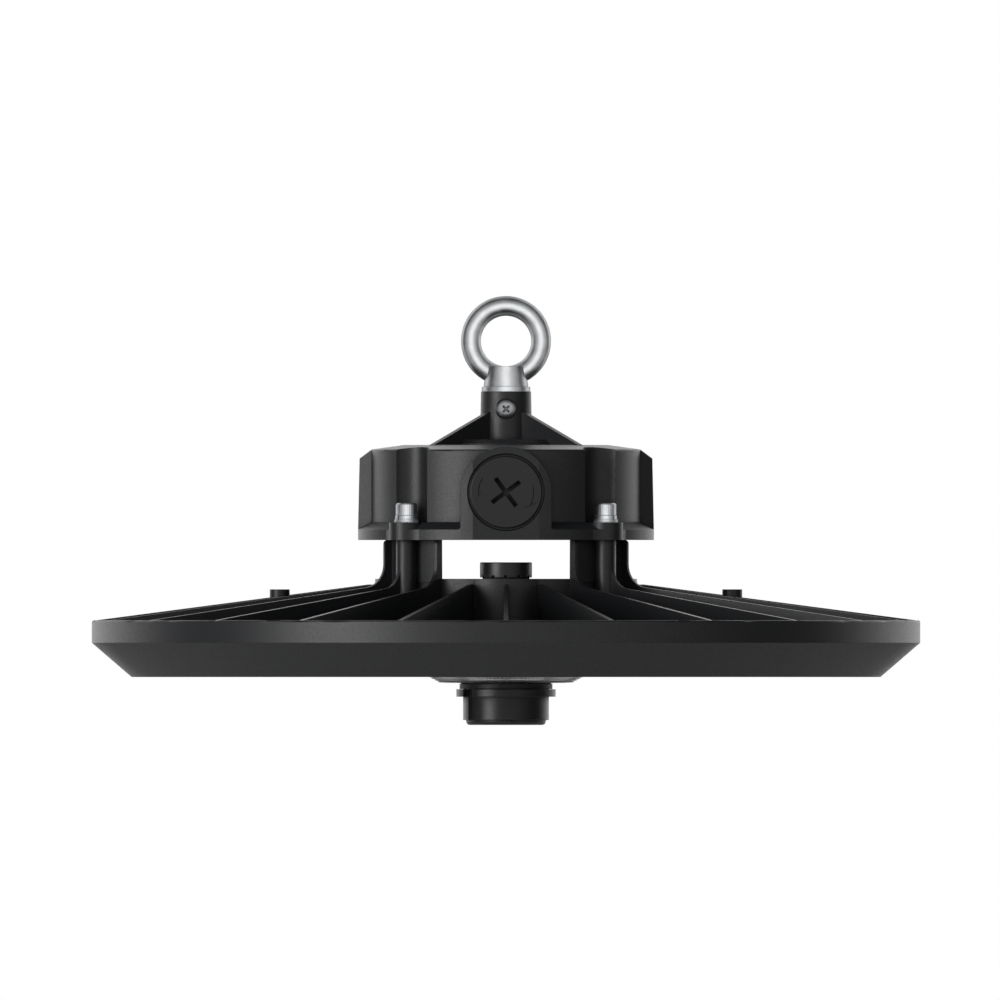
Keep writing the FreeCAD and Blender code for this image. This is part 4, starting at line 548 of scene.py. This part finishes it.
# Polyester tape, wound in layers: a smooth warm yellow with low waves.
yellow_tape = grained(
    "wound yellow polyester tape", "#c9ac2c", "#d8be45", (0.34, 0.28), grain=0.004, relief=0.00002,
    edge=0.0002, IOR=1.57)
# The cans are drawn from aluminium sheet: a dull blue grey metal.
drawn_can = grained(
    "drawn aluminium can", "#8d9096", "#a2a5aa", (0.30, 0.38), grain=0.002, relief=0.000006,
    edge=0.0003, Metallic=1.0)
# Ferrite is pressed and fired: dark grey and matt. Its grain is under a pixel and is drawn at 0.8 mm.
ferrite = grained(
    "sintered ferrite", "#1f1f20", "#2a2a2b", (0.60, 0.50), grain=0.0008, relief=0.00002,
    edge=0.0003, IOR=1.9)
# The terminal block is moulded: a clear mid green with a satin shine.
green_nylon = grained(
    "moulded green nylon", "#1c6a36", "#227a40", (0.36, 0.30), grain=0.0008, relief=0.00001,
    edge=0.0002, IOR=1.53)
dress(green_board, "driver_board", "selector_board")
dress(zinc_plate, "driver_standoffs")
dress(yellow_tape, "power_transformer")
dress(drawn_can, "bulk_capacitors")
dress(ferrite, "input_choke")
dress(green_nylon, "terminal_block")
dress(black_nylon, "selector_switch")


# Driver housing. A deep die-cast aluminium cup with four screw channels, ribs and a hollow stem on top.
# A base plate closes it on a silicone gasket, and a rubber sleeve takes the wires into the hub.
dress(powder_coat, "driver_housing", "housing_base_plate")
dress(silicone, "housing_gasket")
dress(zinc_plate, "base_plate_screws")
dress(black_rubber, "wire_sleeve")


# Corner screws. Four M5 socket head cap screws with knurled heads, each on a spring washer and a flat
# washer, hold the housing down on the heat sink's posts.
CORNER_CIRCLE = 0.0564
CORNER_HEAD_FOOT = 0.083786
CORNER_HEAD_HEIGHT = 0.005
CORNER_SCREW_LENGTH = 0.020
HEAD_RADIUS = 0.00425
SHANK_RADIUS = 0.0025
KNURL_DEPTH = 0.00005
KNURL_TEETH = 36
SOCKET_FLATS = 0.004
SOCKET_DEPTH = 0.0026
TIP_CHAMFER = 0.0004
HEAD_FOOT_CHAMFER = 0.00015
HEAD_FACE_CHAMFER = 0.0005
KNURL_RUN_OUT = 0.0001
HEAD_TWIST_RADIANS = 0.3
corner_rows = (
    (SHANK_RADIUS - TIP_CHAMFER, -CORNER_SCREW_LENGTH, 0.0),
    (SHANK_RADIUS, -CORNER_SCREW_LENGTH + TIP_CHAMFER, 0.0),
    (SHANK_RADIUS, 0.0, 0.0),
    (HEAD_RADIUS - HEAD_FOOT_CHAMFER, 0.0, 0.0),
    (HEAD_RADIUS, HEAD_FOOT_CHAMFER, KNURL_DEPTH),
    (HEAD_RADIUS, CORNER_HEAD_HEIGHT - HEAD_FACE_CHAMFER - KNURL_RUN_OUT, KNURL_DEPTH),
    (HEAD_RADIUS - KNURL_RUN_OUT, CORNER_HEAD_HEIGHT - HEAD_FACE_CHAMFER, 0.0),
    (HEAD_RADIUS - HEAD_FACE_CHAMFER, CORNER_HEAD_HEIGHT, 0.0),
)
hexagon = []
for corner in range(6):
    turn = math.radians(60 * corner)
    reach = SOCKET_FLATS / 2 / math.cos(math.radians(30))
    hexagon.append((reach * math.cos(turn), reach * math.sin(turn)))
corner_screws = bmesh.new()
for corner in range(4):
    turn = math.radians(45 + 90 * corner)
    spot = Vector((CORNER_CIRCLE * math.cos(turn), CORNER_CIRCLE * math.sin(turn), CORNER_HEAD_FOOT))
    add_screw(corner_screws, corner_rows, KNURL_TEETH * STEPS_PER_TOOTH, hexagon, SOCKET_DEPTH,
              Matrix.Translation(spot) @ Matrix.Rotation(HEAD_TWIST_RADIANS * corner, 4, "Z"))
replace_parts(piece_from("knurled_corner_screws", "fixture", zinc_plate, corner_screws), "corner_screws")
dress(zinc_plate, "corner_flat_washers", "corner_spring_washers")


# Cover plug. A nylon quarter-turn plug with a coin cross over the power selector. Two moulded arrows
# beside the cross show the two ways it turns.
dress(black_nylon, "cover_plug")
dress(black_rubber, "cover_plug_seal")
PLUG_FACE = -0.0574
PLUG_CENTRE_HEIGHT = 0.093086
ARROW_RADIUS = 0.0110
ARROW_WIDTH = 0.0003
ARROW_RISE = 0.00012
ARROW_ROOT = 0.0002
ARROW_STEPS = 12
BARB_LENGTH = 0.0042
# Each arrow's first and last angle round the plug, and the angle of its barb, in degrees.
ARROWS = ((148, 186, 230), (16, -28, 20))


def add_bar(built, points):
    """A low raised bar along points on the plug's face, given across and up from its middle."""
    for start, end in zip(points, points[1:]):
        line = (Vector(end) - Vector(start)).normalized() * ARROW_WIDTH / 2
        side = Vector((-line.y, line.x))
        hull = []
        for along, way in ((start, -1), (end, 1)):
            for edge in (-1, 1):
                spot = Vector(along) + line * way + side * edge
                for depth in (PLUG_FACE - ARROW_RISE, PLUG_FACE + ARROW_ROOT):
                    hull.append(built.verts.new((spot.x, depth, PLUG_CENTRE_HEIGHT + spot.y)))
        bmesh.ops.convex_hull(built, input=hull)


plug_arrows = bmesh.new()
for first, last, barb in ARROWS:
    bend = []
    for step in range(ARROW_STEPS + 1):
        turn = math.radians(first + (last - first) * step / ARROW_STEPS)
        bend.append((ARROW_RADIUS * math.cos(turn), ARROW_RADIUS * math.sin(turn)))
    add_bar(plug_arrows, bend)
    tip = Vector(bend[-1])
    slant = Vector((math.cos(math.radians(barb)), math.sin(math.radians(barb)))) * BARB_LENGTH / 2
    add_bar(plug_arrows, [tuple(tip + slant), tuple(tip - slant)])
piece_from("moulded_turning_arrows", "plug", black_nylon, plug_arrows)


# Cable gland. A nylon gland on the back of the housing, with a rubber washer under its hexagon, a rubber
# insert that grips the cable, a dome nut, and a lock nut inside the wall.
dress(black_nylon, "gland_body", "gland_nut", "gland_locknut")
dress(black_rubber, "gland_washer", "gland_insert")


# Eye bolt. An M8 lifting eye, drop forged in steel and zinc plated, on a thick washer over the stem. A
# pan head screw through the stem's side keeps it from turning out.

# Forged skin under the zinc is a little rougher and softly uneven, so its bands are broad.
forged_zinc = grained(
    "forged and zinc plated steel", "#b4b6b8", "#cacccd", (0.30, 0.36), grain=0.004, relief=0.000012,
    edge=0.0002, Metallic=1.0, **OUTLINE_TINT)
dress(forged_zinc, "eye_bolt")
dress(zinc_plate, "eye_washer")
LOCK_SCREW_LEVEL = 0.126384
LOCK_SCREW_STEPS = 48
LOCK_CROSS = cross_outline(half_length=0.0018, half_width=0.00042)
LOCK_CROSS_DEPTH = 0.0009
LOCK_SCREW_ROWS = (
    (0.0020, 0.0042, 0.0),
    (0.0020, 0.0086, 0.0),
    (0.0039, 0.0086, 0.0),
    (0.0039, 0.0098, 0.0),
    (0.0036, 0.0105, 0.0),
    (0.0029, 0.0110, 0.0),
    (0.0020, 0.0112, 0.0),
)
lock_screw = bmesh.new()
facing_front = Matrix.Rotation(math.radians(90), 4, "X") @ Matrix.Rotation(math.radians(45), 4, "Z")
add_screw(lock_screw, LOCK_SCREW_ROWS, LOCK_SCREW_STEPS, LOCK_CROSS, LOCK_CROSS_DEPTH,
          Matrix.Translation((0, 0, LOCK_SCREW_LEVEL)) @ facing_front, CROSS_TAPER)
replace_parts(piece_from("cross_recess_lock_screw", "fixture", zinc_plate, lock_screw), "eye_lock_screw")


# Light on the bright metal. A flag keeps the key softbox off the plated steel. A bright round front
# light and two wide dim ones fall on the larger pieces alone, which then show broad soft bands.
METAL_NODES = ("eye_bolt", "eye_washer", "corner_flat_washers", "corner_spring_washers")
METAL_LIGHT_HEIGHT = 0.09
# Each light has a name, a width, a place along Y and a power.
METAL_LIGHTS = (
    ("metal_front_softbox", 1.7, -1.7, 6.0),
    ("metal_wide_front_softbox", 6.0, -0.8, 27.0),
    ("metal_wide_back_softbox", 6.0, 0.65, 45.0),
)
flagged = bpy.data.collections.new("metal the key misses")
lit = bpy.data.collections.new("metal with its own lights")
bright_metal = [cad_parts[node] for node in METAL_NODES]
bright_metal.append(bpy.data.objects["knurled_corner_screws"])
for piece in bright_metal:
    lit.objects.link(piece)
for piece in bright_metal + [bpy.data.objects["cross_recess_lock_screw"]]:
    flagged.objects.link(piece)
for held in flagged.collection_objects:
    held.light_linking.link_state = "EXCLUDE"
key.light_linking.receiver_collection = flagged
for name, width, depth, power in METAL_LIGHTS:
    lamp = softbox(name, width, width, (0.0, depth, METAL_LIGHT_HEIGHT), power)
    lamp.data.shape = "DISK"
    lamp.light_linking.receiver_collection = lit
